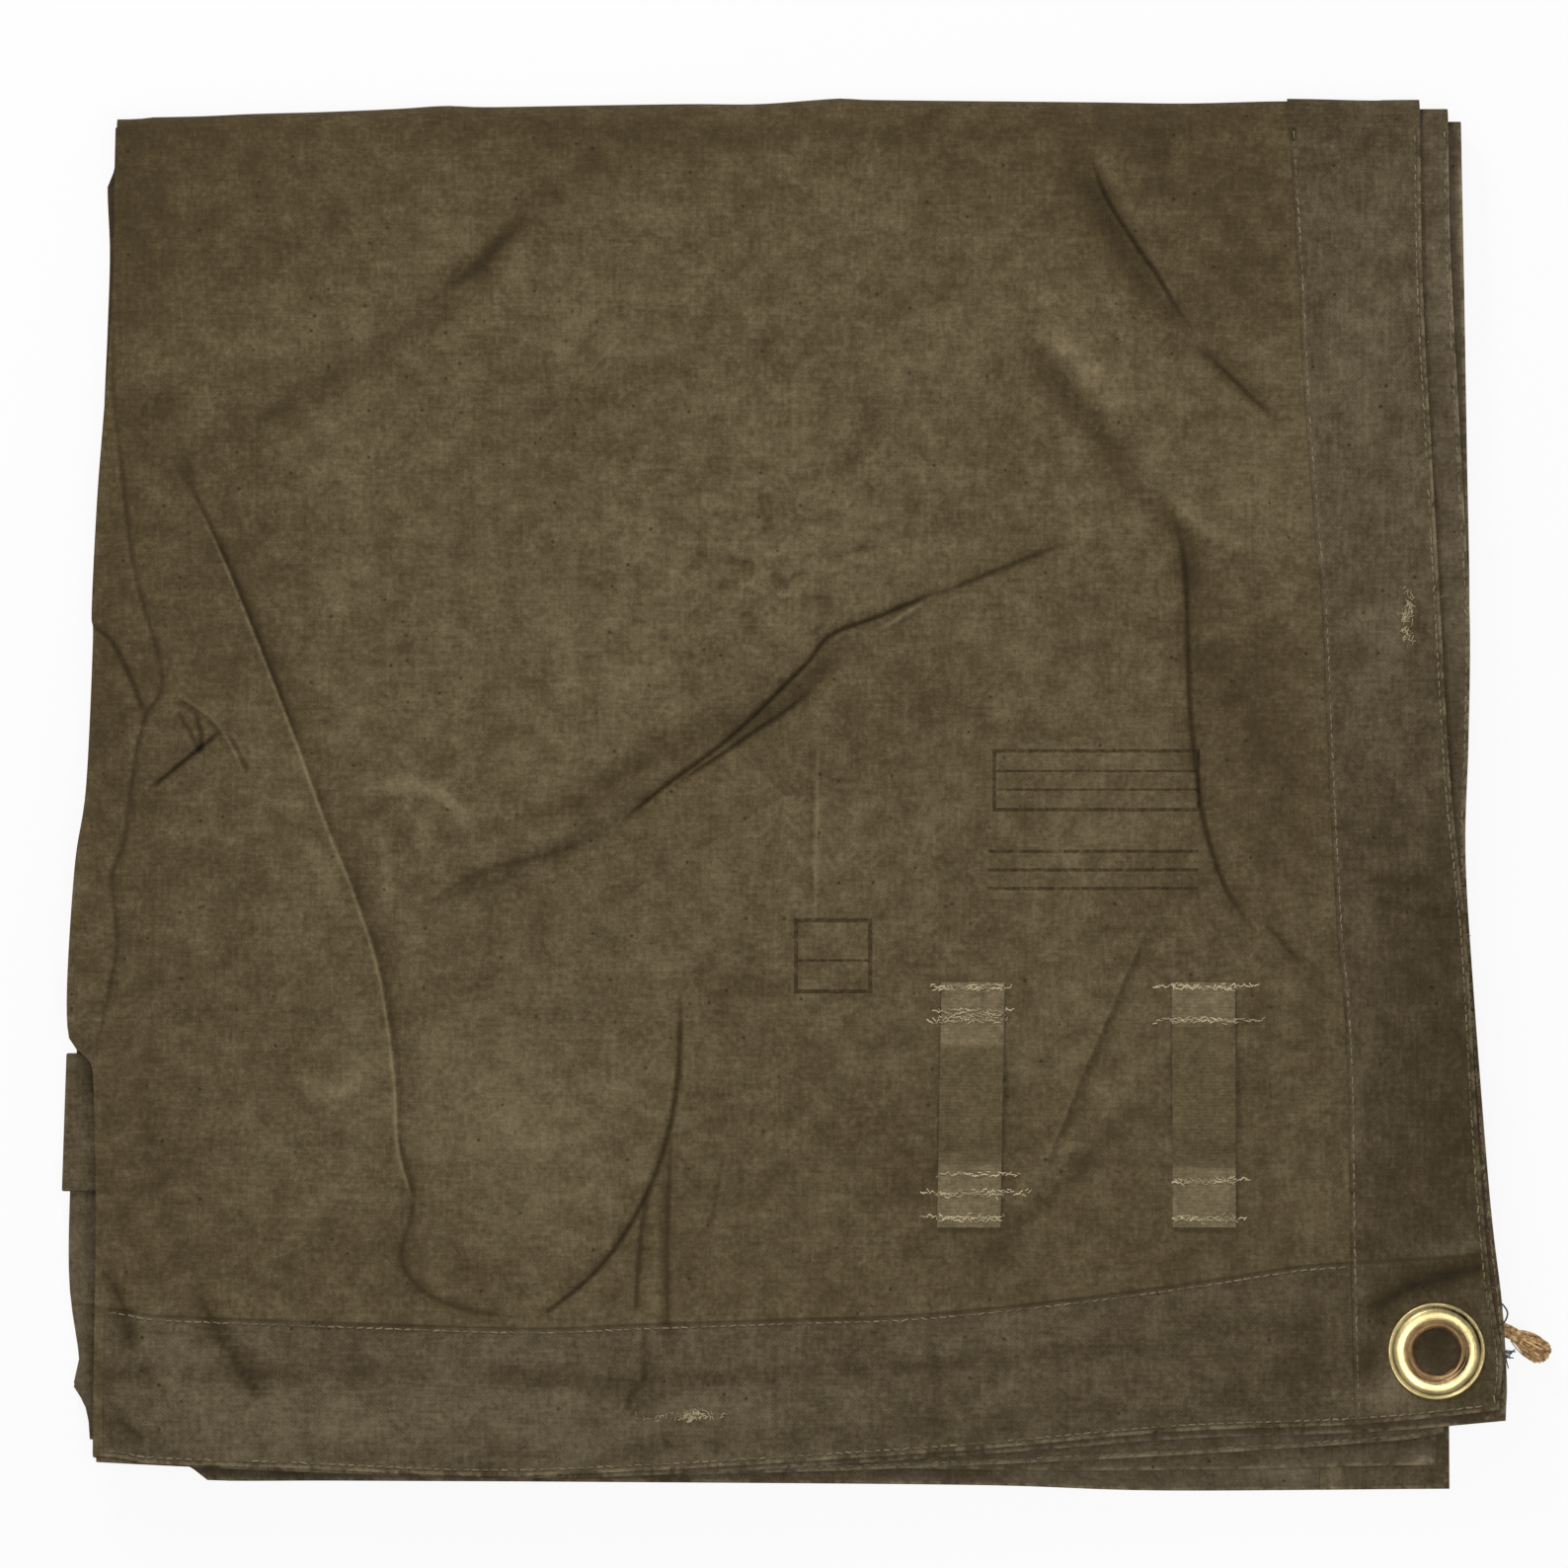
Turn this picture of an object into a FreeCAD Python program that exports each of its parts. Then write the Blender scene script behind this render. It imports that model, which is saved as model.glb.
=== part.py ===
import FreeCAD, Part
import math
import os
from FreeCAD import Vector

# A canvas mail sack, folded flat into a square packet. The sack is two canvas panels, front and back,
# folded in half at the left and then in half again along the top, so it lies as four leaves of two
# plies. The upper half (leaves 1 and 2) opens about the top fold; the lower half (leaves 3 and 4) rests
# on the floor. +X is towards the sack's mouth, +Y towards the top fold and +Z up. The origin is the
# bottom centre of the packet. Millimetres throughout.

# Cloth
ply = 0.8                  # one thickness of canvas
ply_gap = 0.3              # between the front and the back panel of one leaf
leaf_gap = 2.6             # between the two leaves of one half, at the left fold
half_gap = 5.4             # between the two halves, where the rope lies
band_thickness = 0.7       # reinforcing strips sewn on the panels
sewn_gap = 0.02            # between pieces that are sewn flat together
thread_width = 0.6
thread_height = 0.22

# Outline of the packet
top_fold_y = 216.3         # axis of the fold that joins the halves
upper_left_top_x = -213.5  # left fold of leaves 1 and 2, at the top fold and at the lower corner
upper_left_low_x = -220.5
lower_left_top_x = -215.0  # left fold of leaves 3 and 4
lower_left_low_x = -229.0
left_line_low_y = -205.0   # where the two lower corners above are measured
far = 300.0                # well outside the packet, for cutting tools
past_fold_y = top_fold_y + 23.7
UP = Vector(0, 0, 1)

# Right edges, from past the top fold to below the corner, and lower edges, from left to right
front_mouth_edge = [(206.2, past_fold_y), (208.6, 162), (211.4, 66), (220.4, -46), (225.5, -112), (231, -190),
                    (233, -240)]
back_mouth_edge = [(213.2, past_fold_y), (219, 100), (222.2, 20), (223.5, -60), (229, -146), (234.2, -203),
                   (235, -240)]
leaf_2_end_edge = [(219.5, past_fold_y), (220, 100), (219, -50), (215, -160), (212.5, -240)]
leaf_3_end_edge = [(217, past_fold_y), (218, 60), (213, -120), (211, -240)]
leaf_4_mouth_edge = [(215, past_fold_y), (216, 100), (216, -100), (216, -240)]
front_side_edge = [(-260, -212), (-160, -218.6), (-60, -219.2), (60, -211.6), (186, -203), (260, -196)]
back_side_edge = [(-260, -212.5), (-60, -219.8), (60, -213.4), (186, -206.8), (260, -200)]
leaf_2_side_edge = [(-260, -213), (-46, -220), (74, -216.4), (156, -212.8), (205, -208.2), (260, -202)]
leaf_3_side_edge = [(-260, -204), (-190, -215), (65, -219), (216, -217.5), (260, -217)]
leaf_4_side_edge = [(-260, -206), (-215, -214), (-165, -220.5), (-60, -223), (130, -225.4), (260, -226)]

# Reinforcing bands and their seams
mouth_band_width = 42.0
side_band_width = 48.0
seam_inset = 1.4           # from a band's edge to the near side of its thread
back_seam_inset = 0.7      # the same on the back panel's mouth, which shows as a narrow strip
band_turn_angle = 90.0     # how far the mouth band follows the top fold

# Brass eyelet at the mouth's corner
eyelet_x = 211.2
eyelet_y = -179.8
bore_radius = 7.5
barrel_wall = 0.7
flange_radius = 15.7
flange_rim = 1.0           # thickness of the flat outer rim
dome_height = 1.8
dome_radius = 12.3         # where the dome of the flange is highest
groove_radius = 14.4       # between the rim and the dome
washer_radius = 14.6
washer_thickness = 0.7
curl_radius = 10.6         # the barrel's end, rolled out under the washer
curl_height = 0.9
barrel_clearance = 0.1     # between the barrel and the holes in cloth and washer
eyelet_seat = 0.05         # between the brass and the cloth

# Webbing keeper loops, tacked down at both ends and free between them
webbing_width = 20.5
webbing_thickness = 1.3
loop_clear_height = 4.45   # under the free part
loop_top_y = -60.3
loop_low_y = -139.7
loop_left_x = 60.4
loop_right_x = 135.8
upper_tack_length = 14.0
lower_tack_length = 19.5
loop_rise_length = 11.0    # along Y, from the tack to the full height
# Rows of tacking thread: y, then how far the row runs past the webbing on its left and right
left_loop_rows = [(-61.5, 2.5, 3.5), (-69.6, 2.0, 4.0), (-72.8, 4.0, 2.0),
                  (-122.4, 1.0, 6.0), (-128.2, 6.0, 10.0), (-136.6, 6.0, 1.0)]
right_loop_rows = [(-61.5, 6.0, 8.0), (-72.4, 6.0, 9.5), (-124.2, 1.0, 5.0), (-136.6, 1.0, 4.0)]

# Remains of two tacks that once held something on the bands: centre x and y, size along X and along Y
worn_tacks = [(-34.5, -200.2, 25.0, 3.0), (201.8, 54.0, 3.0, 24.0)]

# Draw rope, sewn into a canvas tab on leaf 3 and laid between the halves
rope_diameter = 4.8
rope_tab_length = 22.0
rope_tab_width = 14.0
rope_tab_height = rope_diameter + 0.2
rope_tab_rounding = 1.2
rope_z = ply * 4 + ply_gap * 2 + leaf_gap + half_gap / 2
rope_route = [(149, -106, rope_z), (150, -76, rope_z), (146, -34, rope_z), (151, 12, rope_z),
              (147, 56, rope_z), (150, 92, rope_z), (164, 113, rope_z), (188, 114.5, rope_z),
              (205, 96, rope_z), (208, 58, rope_z), (202, 14, rope_z), (206, -32, rope_z),
              (201, -78, rope_z), (203, -116, rope_z), (209, -144, rope_z), (221, -163, rope_z - 0.3),
              (233.5, -173.5, rope_z - 1.4), (247, -181.3, rope_z - 3.6)]
arc_share = 0.45           # of the shorter run beside a bend, taken by its arc

# Canvas tab that shows at the left, sewn to leaf 3
side_tab_x = -234.2        # its outer end
side_tab_length = 42.0
side_tab_high_y = -83.5
side_tab_low_y = -128.3
side_tab_seam_inset = 24.0

# Heights, from the floor up. A leaf is listed by its lower and upper ply.
front_4_z = 0.0
back_4_z = front_4_z + ply + ply_gap
back_3_z = back_4_z + ply + leaf_gap
front_3_z = back_3_z + ply + ply_gap
lower_half_top = front_3_z + ply
front_2_z = lower_half_top + half_gap
back_2_z = front_2_z + ply + ply_gap
back_1_z = back_2_z + ply + leaf_gap
front_1_z = back_1_z + ply + ply_gap
packet_top = front_1_z + ply
band_top = packet_top + sewn_gap + band_thickness
fold_z = packet_top / 2


def smooth_edge(points):
    """A smooth edge through points of the plan, at z = 0."""
    curve = Part.BSplineCurve()
    curve.interpolate([Vector(x, y, 0) for x, y in points])
    return curve.toShape()


def closed_face(edge, corners):
    """The face between an edge and straight lines through the given corners."""
    ends = [edge.valueAt(edge.LastParameter), *[Vector(x, y, 0) for x, y in corners],
            edge.valueAt(edge.FirstParameter)]
    return Part.Face(Part.Wire([edge, Part.makePolygon(ends)]))


def inside_right(points):
    """Everything to the left of a right edge."""
    return closed_face(smooth_edge(points), [(-far, points[-1][1]), (-far, points[0][1])])


def inside_low(points):
    """Everything above a lower edge."""
    return closed_face(smooth_edge(points), [(points[-1][0], far), (points[0][0], far)])


def left_x(top_x, low_x, y):
    """Where a left fold lies at a given y."""
    share = (top_fold_y - y) / (top_fold_y - left_line_low_y)
    return top_x + share * (low_x - top_x)


def inside_left(top_x, low_x):
    """Everything to the right of a left fold and below the top fold."""
    corners = [(top_x, top_fold_y), (far, top_fold_y), (far, -far), (left_x(top_x, low_x, -far), -far),
               (top_x, top_fold_y)]
    return Part.Face(Part.makePolygon([Vector(x, y, 0) for x, y in corners]))


def prism(face, bottom_z, thickness, shift_x=0.0, shift_y=0.0):
    """A flat solid with a face's outline, moved in the plan."""
    placed = face.copy()
    placed.translate(Vector(shift_x, shift_y, bottom_z))
    return placed.extrude(Vector(0, 0, thickness))


def sheet(outline, bottom_z, thickness=ply):
    """One thickness of cloth, cut to an outline: its right edge, lower edge and left fold."""
    right, low, left = outline
    body = prism(inside_right(right), bottom_z, thickness)
    body = body.common(prism(inside_low(low), bottom_z, thickness))
    return body.common(prism(inside_left(*left), bottom_z, thickness))


upper_left = (upper_left_top_x, upper_left_low_x)
lower_left = (lower_left_top_x, lower_left_low_x)
front_1 = (front_mouth_edge, front_side_edge, upper_left)
back_1 = (back_mouth_edge, back_side_edge, upper_left)
leaf_2 = (leaf_2_end_edge, leaf_2_side_edge, upper_left)
leaf_3 = (leaf_3_end_edge, leaf_3_side_edge, lower_left)
leaf_4 = (leaf_4_mouth_edge, leaf_4_side_edge, lower_left)


def bent_cloth(start, end, outer, inner, angle=180.0):
    """Cloth bent about the line from start to end: from above the line, down on its left."""
    corners = [start + UP * inner, start + UP * outer, end + UP * outer, end + UP * inner]
    return Part.Face(Part.makePolygon(corners + corners[:1])).revolve(start, end - start, -angle)


def left_fold(upper_outline, lower_z, upper_z):
    """The bend at the left that joins the two plies of one panel in one half."""
    low, (top_x, low_x) = upper_outline[1], upper_outline[2]
    middle = (upper_z + ply + lower_z) / 2
    outer = (upper_z + ply - lower_z) / 2
    start = Vector(left_x(top_x, low_x, -far), -far, middle)
    end = Vector(left_x(top_x, low_x, far), far, middle)
    bend = bent_cloth(start, end, outer, outer - ply)
    bend = bend.common(prism(inside_low(low), lower_z, 2 * outer))
    return bend.common(Part.makeBox(far, far + top_fold_y, 2 * outer, Vector(-far, -far, lower_z)))


def folded_panel(lower_outline, lower_z, upper_outline, upper_z):
    """One panel in one half: a lower ply, an upper ply and the bend that joins them at the left."""
    lower = sheet(lower_outline, lower_z)
    upper = sheet(upper_outline, upper_z)
    bend = left_fold(upper_outline, lower_z, upper_z)
    return lower.fuse([bend, upper]).removeSplitter()


def eyelet_hole():
    """The round hole that the eyelet's barrel passes through, in leaf 1 only."""
    radius = bore_radius + barrel_wall + barrel_clearance
    floor = back_2_z + ply
    return Part.makeCylinder(radius, band_top + 1 - floor, Vector(eyelet_x, eyelet_y, floor))


def edge_strip(outline, edge, bottom_z, thickness, near, beyond, from_right):
    """A strip of cloth or thread along a right or lower edge, between two distances from it."""
    region = inside_right(edge) if from_right else inside_low(edge)
    step = Vector(-1, 0, 0) if from_right else Vector(0, 1, 0)
    strip = sheet(outline, bottom_z, thickness)
    if near:
        strip = strip.common(prism(region, bottom_z, thickness, step.x * near, step.y * near))
    return strip.cut(prism(region, bottom_z, thickness, step.x * beyond, step.y * beyond))


def front_panel_upper():
    return folded_panel(leaf_2, front_2_z, front_1, front_1_z).cut(eyelet_hole())


def back_panel_upper():
    return folded_panel(leaf_2, back_2_z, back_1, back_1_z).cut(eyelet_hole())


def front_panel_lower():
    return folded_panel(leaf_4, front_4_z, leaf_3, front_3_z)


def back_panel_lower():
    return folded_panel(leaf_4, back_4_z, leaf_3, back_3_z)


def top_fold_ply(edge, lower_z):
    """The bend over the top that joins one ply of the lower half to its continuation above."""
    outer = fold_z - lower_z
    left = max(upper_left_top_x, lower_left_top_x)
    start, end = Vector(left, top_fold_y, fold_z), Vector(far, top_fold_y, fold_z)
    bend = bent_cloth(start, end, outer, outer - ply)
    return bend.common(prism(inside_right(edge), lower_z, 2 * outer))


def front_panel_top_fold():
    """The front panel's outermost and innermost bends."""
    outer = top_fold_ply(front_mouth_edge, front_4_z)
    inner = top_fold_ply(leaf_3_end_edge, front_3_z)
    return Part.makeCompound([outer, inner])


def back_panel_top_fold():
    """The back panel's two bends, between those of the front panel."""
    outer = top_fold_ply(back_mouth_edge, back_4_z)
    inner = top_fold_ply(leaf_3_end_edge, back_3_z)
    return Part.makeCompound([outer, inner])


def mouth_band():
    strip = edge_strip(front_1, front_mouth_edge, packet_top + sewn_gap, band_thickness, 0,
                       mouth_band_width, True)
    return strip.cut(eyelet_hole())


def mouth_band_top_turn():
    """The end of the mouth band, turned over the top fold."""
    outer = band_top - fold_z
    inner = outer - band_thickness
    start, end = Vector(0, top_fold_y, fold_z), Vector(far, top_fold_y, fold_z)
    turn = bent_cloth(start, end, outer, inner, band_turn_angle)
    region = inside_right(front_mouth_edge)
    turn = turn.common(prism(region, fold_z, outer))
    return turn.cut(prism(region, fold_z, outer, -mouth_band_width))


def side_band():
    strip = edge_strip(front_1, front_side_edge, packet_top + sewn_gap, band_thickness, 0,
                       side_band_width, False)
    clear = mouth_band_width + eyelet_seat
    return strip.common(prism(inside_right(front_mouth_edge), packet_top, 2 * band_thickness, -clear))


def back_mouth_band():
    """The strip under leaf 1 that backs the eyelet."""
    bottom_z = back_1_z - sewn_gap - band_thickness
    strip = edge_strip(back_1, back_mouth_edge, bottom_z, band_thickness, 0, mouth_band_width, True)
    return strip.cut(eyelet_hole())


def inner_side_band_upper():
    """The side band on the underside of leaf 2, short of the rope."""
    bottom_z = front_2_z - sewn_gap - band_thickness
    strip = edge_strip(leaf_2, leaf_2_side_edge, bottom_z, band_thickness, 0, side_band_width, False)
    region = inside_right(leaf_2_end_edge)
    return strip.common(prism(region, bottom_z, band_thickness, -mouth_band_width))


def inner_side_band_lower():
    """The side band on top of leaf 3, short of the rope."""
    bottom_z = lower_half_top + sewn_gap
    strip = edge_strip(leaf_3, leaf_3_side_edge, bottom_z, band_thickness, 0, side_band_width, False)
    region = inside_right(leaf_3_end_edge)
    return strip.common(prism(region, bottom_z, band_thickness, -mouth_band_width))


def lower_mouth_band():
    """The back panel's mouth band on leaf 4."""
    bottom_z = back_4_z + ply + sewn_gap
    return edge_strip(leaf_4, leaf_4_mouth_edge, bottom_z, band_thickness, 0, mouth_band_width, True)


def seam(outline, edge, bottom_z, inset, from_right):
    """A line of thread along an edge."""
    return edge_strip(outline, edge, bottom_z + sewn_gap, thread_height, inset, inset + thread_width,
                      from_right)


def mouth_band_edge_seam():
    return seam(front_1, front_mouth_edge, band_top, seam_inset, True)


def mouth_band_inner_seam():
    inset = mouth_band_width - seam_inset - thread_width
    line = seam(front_1, front_mouth_edge, band_top, inset, True)
    edge_thread = mouth_band_side_clearance()
    return line.cut(edge_thread)


def mouth_band_side_clearance():
    """The room of the side seam where it crosses the end of the inner seam."""
    region = inside_low(front_side_edge)
    low = seam_inset - sewn_gap
    high = seam_inset + thread_width + sewn_gap
    room = prism(region, band_top, 2 * thread_height, 0, low)
    return room.cut(prism(region, band_top, 2 * thread_height, 0, high))


def side_band_edge_seam():
    line = seam(front_1, front_side_edge, band_top, seam_inset, False)
    clear = seam_inset + thread_width + sewn_gap
    return line.common(prism(inside_right(front_mouth_edge), band_top, 2 * thread_height, -clear))


def side_band_inner_seam():
    inset = side_band_width - seam_inset - thread_width
    line = seam(front_1, front_side_edge, band_top, inset, False)
    clear = mouth_band_width + eyelet_seat
    return line.common(prism(inside_right(front_mouth_edge), band_top, 2 * thread_height, -clear))


def back_mouth_seam():
    return seam(back_1, back_mouth_edge, back_1_z + ply, back_seam_inset, True)


def leaf_2_side_seam():
    return seam(leaf_2, leaf_2_side_edge, back_2_z + ply, seam_inset, False)


def lower_mouth_band_seam():
    band_face = back_4_z + ply + sewn_gap + band_thickness
    inset = mouth_band_width - seam_inset - thread_width
    return seam(leaf_4, leaf_4_mouth_edge, band_face, inset, True)


def corner_eyelet():
    """Flange, barrel and rolled end in one piece of drawn brass."""
    seat = band_top + eyelet_seat
    outside = bore_radius + barrel_wall
    cloth_low = back_1_z - sewn_gap - band_thickness
    roll_top = cloth_low - 2 * eyelet_seat - washer_thickness
    roll_low = roll_top - curl_height
    rim = flange_rim / 2
    mouth_r = (bore_radius + dome_radius) / 2
    mouth_z = seat + dome_height * 0.72

    def at(radius, z):
        return Vector(radius, 0, z)

    bore_top = seat - flange_rim
    bore_low = roll_low + curl_height / 2
    groove_z = seat + flange_rim * 0.7
    edges = [
        Part.LineSegment(at(outside, roll_top), at(outside, seat)),
        Part.LineSegment(at(outside, seat), at(flange_radius - rim, seat)),
        Part.Arc(at(flange_radius - rim, seat), at(flange_radius, seat + rim),
                 at(flange_radius - rim, seat + flange_rim)),
        Part.LineSegment(at(flange_radius - rim, seat + flange_rim), at(groove_radius, groove_z)),
        Part.Arc(at(groove_radius, groove_z), at(dome_radius, seat + dome_height), at(mouth_r, mouth_z)),
        Part.Arc(at(mouth_r, mouth_z), at(bore_radius + (mouth_r - bore_radius) * 0.3, seat),
                 at(bore_radius, bore_top)),
        Part.LineSegment(at(bore_radius, bore_top), at(bore_radius, bore_low)),
        Part.Arc(at(bore_radius, bore_low), at(bore_radius + curl_height * 0.15, roll_low + 0.13),
                 at(bore_radius + curl_height / 2, roll_low)),
        Part.LineSegment(at(bore_radius + curl_height / 2, roll_low),
                         at(curl_radius - curl_height / 2, roll_low)),
        Part.Arc(at(curl_radius - curl_height / 2, roll_low), at(curl_radius, roll_low + curl_height / 2),
                 at(curl_radius - curl_height / 2, roll_top)),
        Part.LineSegment(at(curl_radius - curl_height / 2, roll_top), at(outside, roll_top)),
    ]
    profile = Part.Face(Part.Wire([edge.toShape() for edge in edges]))
    ring = profile.revolve(Vector(0, 0, 0), Vector(0, 0, 1), 360)
    ring.translate(Vector(eyelet_x, eyelet_y, 0))
    return ring


def eyelet_washer():
    top = back_1_z - sewn_gap - band_thickness - eyelet_seat
    base = Vector(eyelet_x, eyelet_y, top - washer_thickness)
    disc = Part.makeCylinder(washer_radius, washer_thickness, base)
    hole = Part.makeCylinder(bore_radius + barrel_wall + barrel_clearance, washer_thickness, base)
    return disc.cut(hole)


def keeper_loop(centre_x):
    """A strip of webbing, flat at its two tacked ends and standing clear between them."""
    low = packet_top + sewn_gap
    high = low + loop_clear_height
    rise = loop_rise_length
    upper_end = loop_top_y - upper_tack_length
    lower_end = loop_low_y + lower_tack_length

    def side(lift):
        def at(y, z):
            return Vector(centre_x - webbing_width / 2, y, z + lift)

        up = Part.BSplineCurve()
        up.interpolate([at(lower_end, low), at(lower_end + rise / 2, (low + high) / 2),
                        at(lower_end + rise, high)],
                       InitialTangent=Vector(0, 1, 0), FinalTangent=Vector(0, 1, 0))
        down = Part.BSplineCurve()
        down.interpolate([at(upper_end - rise, high), at(upper_end - rise / 2, (low + high) / 2),
                          at(upper_end, low)],
                         InitialTangent=Vector(0, 1, 0), FinalTangent=Vector(0, 1, 0))
        return [Part.LineSegment(at(loop_low_y, low), at(lower_end, low)).toShape(), up.toShape(),
                Part.LineSegment(at(lower_end + rise, high), at(upper_end - rise, high)).toShape(),
                down.toShape(), Part.LineSegment(at(upper_end, low), at(loop_top_y, low)).toShape()]

    x = centre_x - webbing_width / 2
    ends = [Part.LineSegment(Vector(x, y, low), Vector(x, y, low + webbing_thickness)).toShape()
            for y in (loop_low_y, loop_top_y)]
    wire = Part.Wire(Part.__sortEdges__(side(0) + side(webbing_thickness) + ends))
    return Part.Face(wire).extrude(Vector(webbing_width, 0, 0))


def tack_row(centre_x, y, left_reach, right_reach):
    """A row of thread that runs over the webbing and into the canvas on each side."""
    foot = packet_top + sewn_gap
    left = centre_x - webbing_width / 2 - sewn_gap
    right = centre_x + webbing_width / 2 + sewn_gap
    over = foot + webbing_thickness + sewn_gap
    t = thread_height
    outline = [(left - t - left_reach, foot), (left, foot), (left, over), (right, over), (right, foot),
               (right + t + right_reach, foot), (right + t + right_reach, foot + t), (right + t, foot + t),
               (right + t, over + t), (left - t, over + t), (left - t, foot + t),
               (left - t - left_reach, foot + t)]
    points = [Vector(x, y - thread_width / 2, z) for x, z in outline]
    return Part.Face(Part.makePolygon(points + points[:1])).extrude(Vector(0, thread_width, 0))


def keeper_tack_stitches():
    rows = [tack_row(loop_left_x, *row) for row in left_loop_rows]
    rows += [tack_row(loop_right_x, *row) for row in right_loop_rows]
    return Part.makeCompound(rows)


def worn_tack_stitches():
    pads = []
    for x, y, size_x, size_y in worn_tacks:
        corner = Vector(x - size_x / 2, y - size_y / 2, band_top + sewn_gap)
        pads.append(Part.makeBox(size_x, size_y, thread_height, corner))
    return Part.makeCompound(pads)


def rope_path():
    """Straight runs joined by tangent arcs, and the radius of each arc."""
    points = [Vector(*p) for p in rope_route]
    edges, radii = [], []
    last = points[0]
    for before, corner, after in zip(points, points[1:], points[2:]):
        way_in, way_out = corner - before, after - corner
        turn = way_in.getAngle(way_out)
        reach = arc_share * min(way_in.Length, way_out.Length)
        radius = reach / math.tan(turn / 2)
        first = corner - way_in.normalize() * reach
        end = corner + way_out.normalize() * reach
        inward = (way_out - way_in).normalize()
        middle = corner + inward * (radius / math.cos(turn / 2) - radius)
        edges += [Part.LineSegment(last, first).toShape(), Part.Arc(first, middle, end).toShape()]
        radii.append(radius)
        last = end
    edges.append(Part.LineSegment(last, points[-1]).toShape())
    return Part.Wire(edges), radii


def draw_rope():
    path, radii = rope_path()
    start = Vector(*rope_route[0])
    along = Vector(*rope_route[1]) - start
    section = Part.Wire(Part.makeCircle(rope_diameter / 2, start, along))
    tube = path.makePipeShell([section], True, True)
    whole = math.pi * (rope_diameter / 2) ** 2 * path.Length
    print("rope length", round(path.Length, 1), "volume share", round(tube.Volume / whole, 4))
    print("rope radii", [round(radius, 1) for radius in radii])
    return tube


def rope_tab():
    """A fold of canvas sewn round the rope's end."""
    start = Vector(*rope_route[0])
    box = Part.makeBox(rope_tab_width, rope_tab_length, rope_tab_height,
                       Vector(-rope_tab_width / 2, -rope_tab_length, 0))
    long_edges = [edge for edge in box.Edges if abs(edge.tangentAt(edge.FirstParameter).y) > 0.9]
    tab = box.makeFillet(rope_tab_rounding, long_edges)
    along = Vector(*rope_route[1]) - start
    tab.rotate(Vector(0, 0, 0), Vector(0, 0, 1), math.degrees(math.atan2(along.y, along.x)) - 90)
    tab.translate(Vector(start.x, start.y, lower_half_top + sewn_gap))
    return tab


def side_tab():
    bottom_z = lower_half_top + sewn_gap
    doubled = 2 * ply
    return Part.makeBox(side_tab_length, side_tab_high_y - side_tab_low_y, doubled,
                        Vector(side_tab_x, side_tab_low_y, bottom_z))


def side_tab_seam():
    bottom_z = lower_half_top + 2 * sewn_gap + 2 * ply
    height = side_tab_high_y - side_tab_low_y - 2 * seam_inset
    return Part.makeBox(thread_width, height, thread_height,
                        Vector(side_tab_x + side_tab_seam_inset, side_tab_low_y + seam_inset, bottom_z))


nodes = {
    "front_panel_upper": front_panel_upper(),
    "back_panel_upper": back_panel_upper(),
    "mouth_band": mouth_band(),
    "mouth_band_top_turn": mouth_band_top_turn(),
    "side_band": side_band(),
    "back_mouth_band": back_mouth_band(),
    "inner_side_band_upper": inner_side_band_upper(),
    "corner_eyelet": corner_eyelet(),
    "eyelet_washer": eyelet_washer(),
    "left_keeper_loop": keeper_loop(loop_left_x),
    "right_keeper_loop": keeper_loop(loop_right_x),
    "keeper_tack_stitches": keeper_tack_stitches(),
    "worn_tack_stitches": worn_tack_stitches(),
    "mouth_band_edge_seam": mouth_band_edge_seam(),
    "mouth_band_inner_seam": mouth_band_inner_seam(),
    "side_band_edge_seam": side_band_edge_seam(),
    "side_band_inner_seam": side_band_inner_seam(),
    "back_mouth_seam": back_mouth_seam(),
    "leaf_2_side_seam": leaf_2_side_seam(),
    "front_panel_lower": front_panel_lower(),
    "back_panel_lower": back_panel_lower(),
    "lower_mouth_band": lower_mouth_band(),
    "lower_mouth_band_seam": lower_mouth_band_seam(),
    "inner_side_band_lower": inner_side_band_lower(),
    "front_panel_top_fold": front_panel_top_fold(),
    "back_panel_top_fold": back_panel_top_fold(),
    "draw_rope": draw_rope(),
    "rope_tab": rope_tab(),
    "side_tab": side_tab(),
    "side_tab_seam": side_tab_seam(),
}

os.makedirs("parts", exist_ok=True)
for name, shape in nodes.items():
    shape.exportStep(f"parts/{name}.step")
    box = shape.BoundBox
    print(f"{name:24s} solids {len(shape.Solids)} valid {shape.isValid()} volume {shape.Volume:9.1f}"
          f"  x {box.XMin:7.1f} {box.XMax:7.1f}  y {box.YMin:7.1f} {box.YMax:7.1f}"
          f"  z {box.ZMin:6.2f} {box.ZMax:6.2f}")
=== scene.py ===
"""Looks of a canvas mail sack that lies folded into a square packet of four leaves.

The cloth's edges, folds and creases are given in millimetres in the plan, seen from above, with +X
to the right and +Y to the top fold. Heights come from the frame.
"""
import logging
import math
from collections.abc import Callable, Sequence
from dataclasses import dataclass
from enum import Enum
from functools import partialmethod

import bpy
import numpy as np
from mathutils import Matrix, Vector, noise


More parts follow.
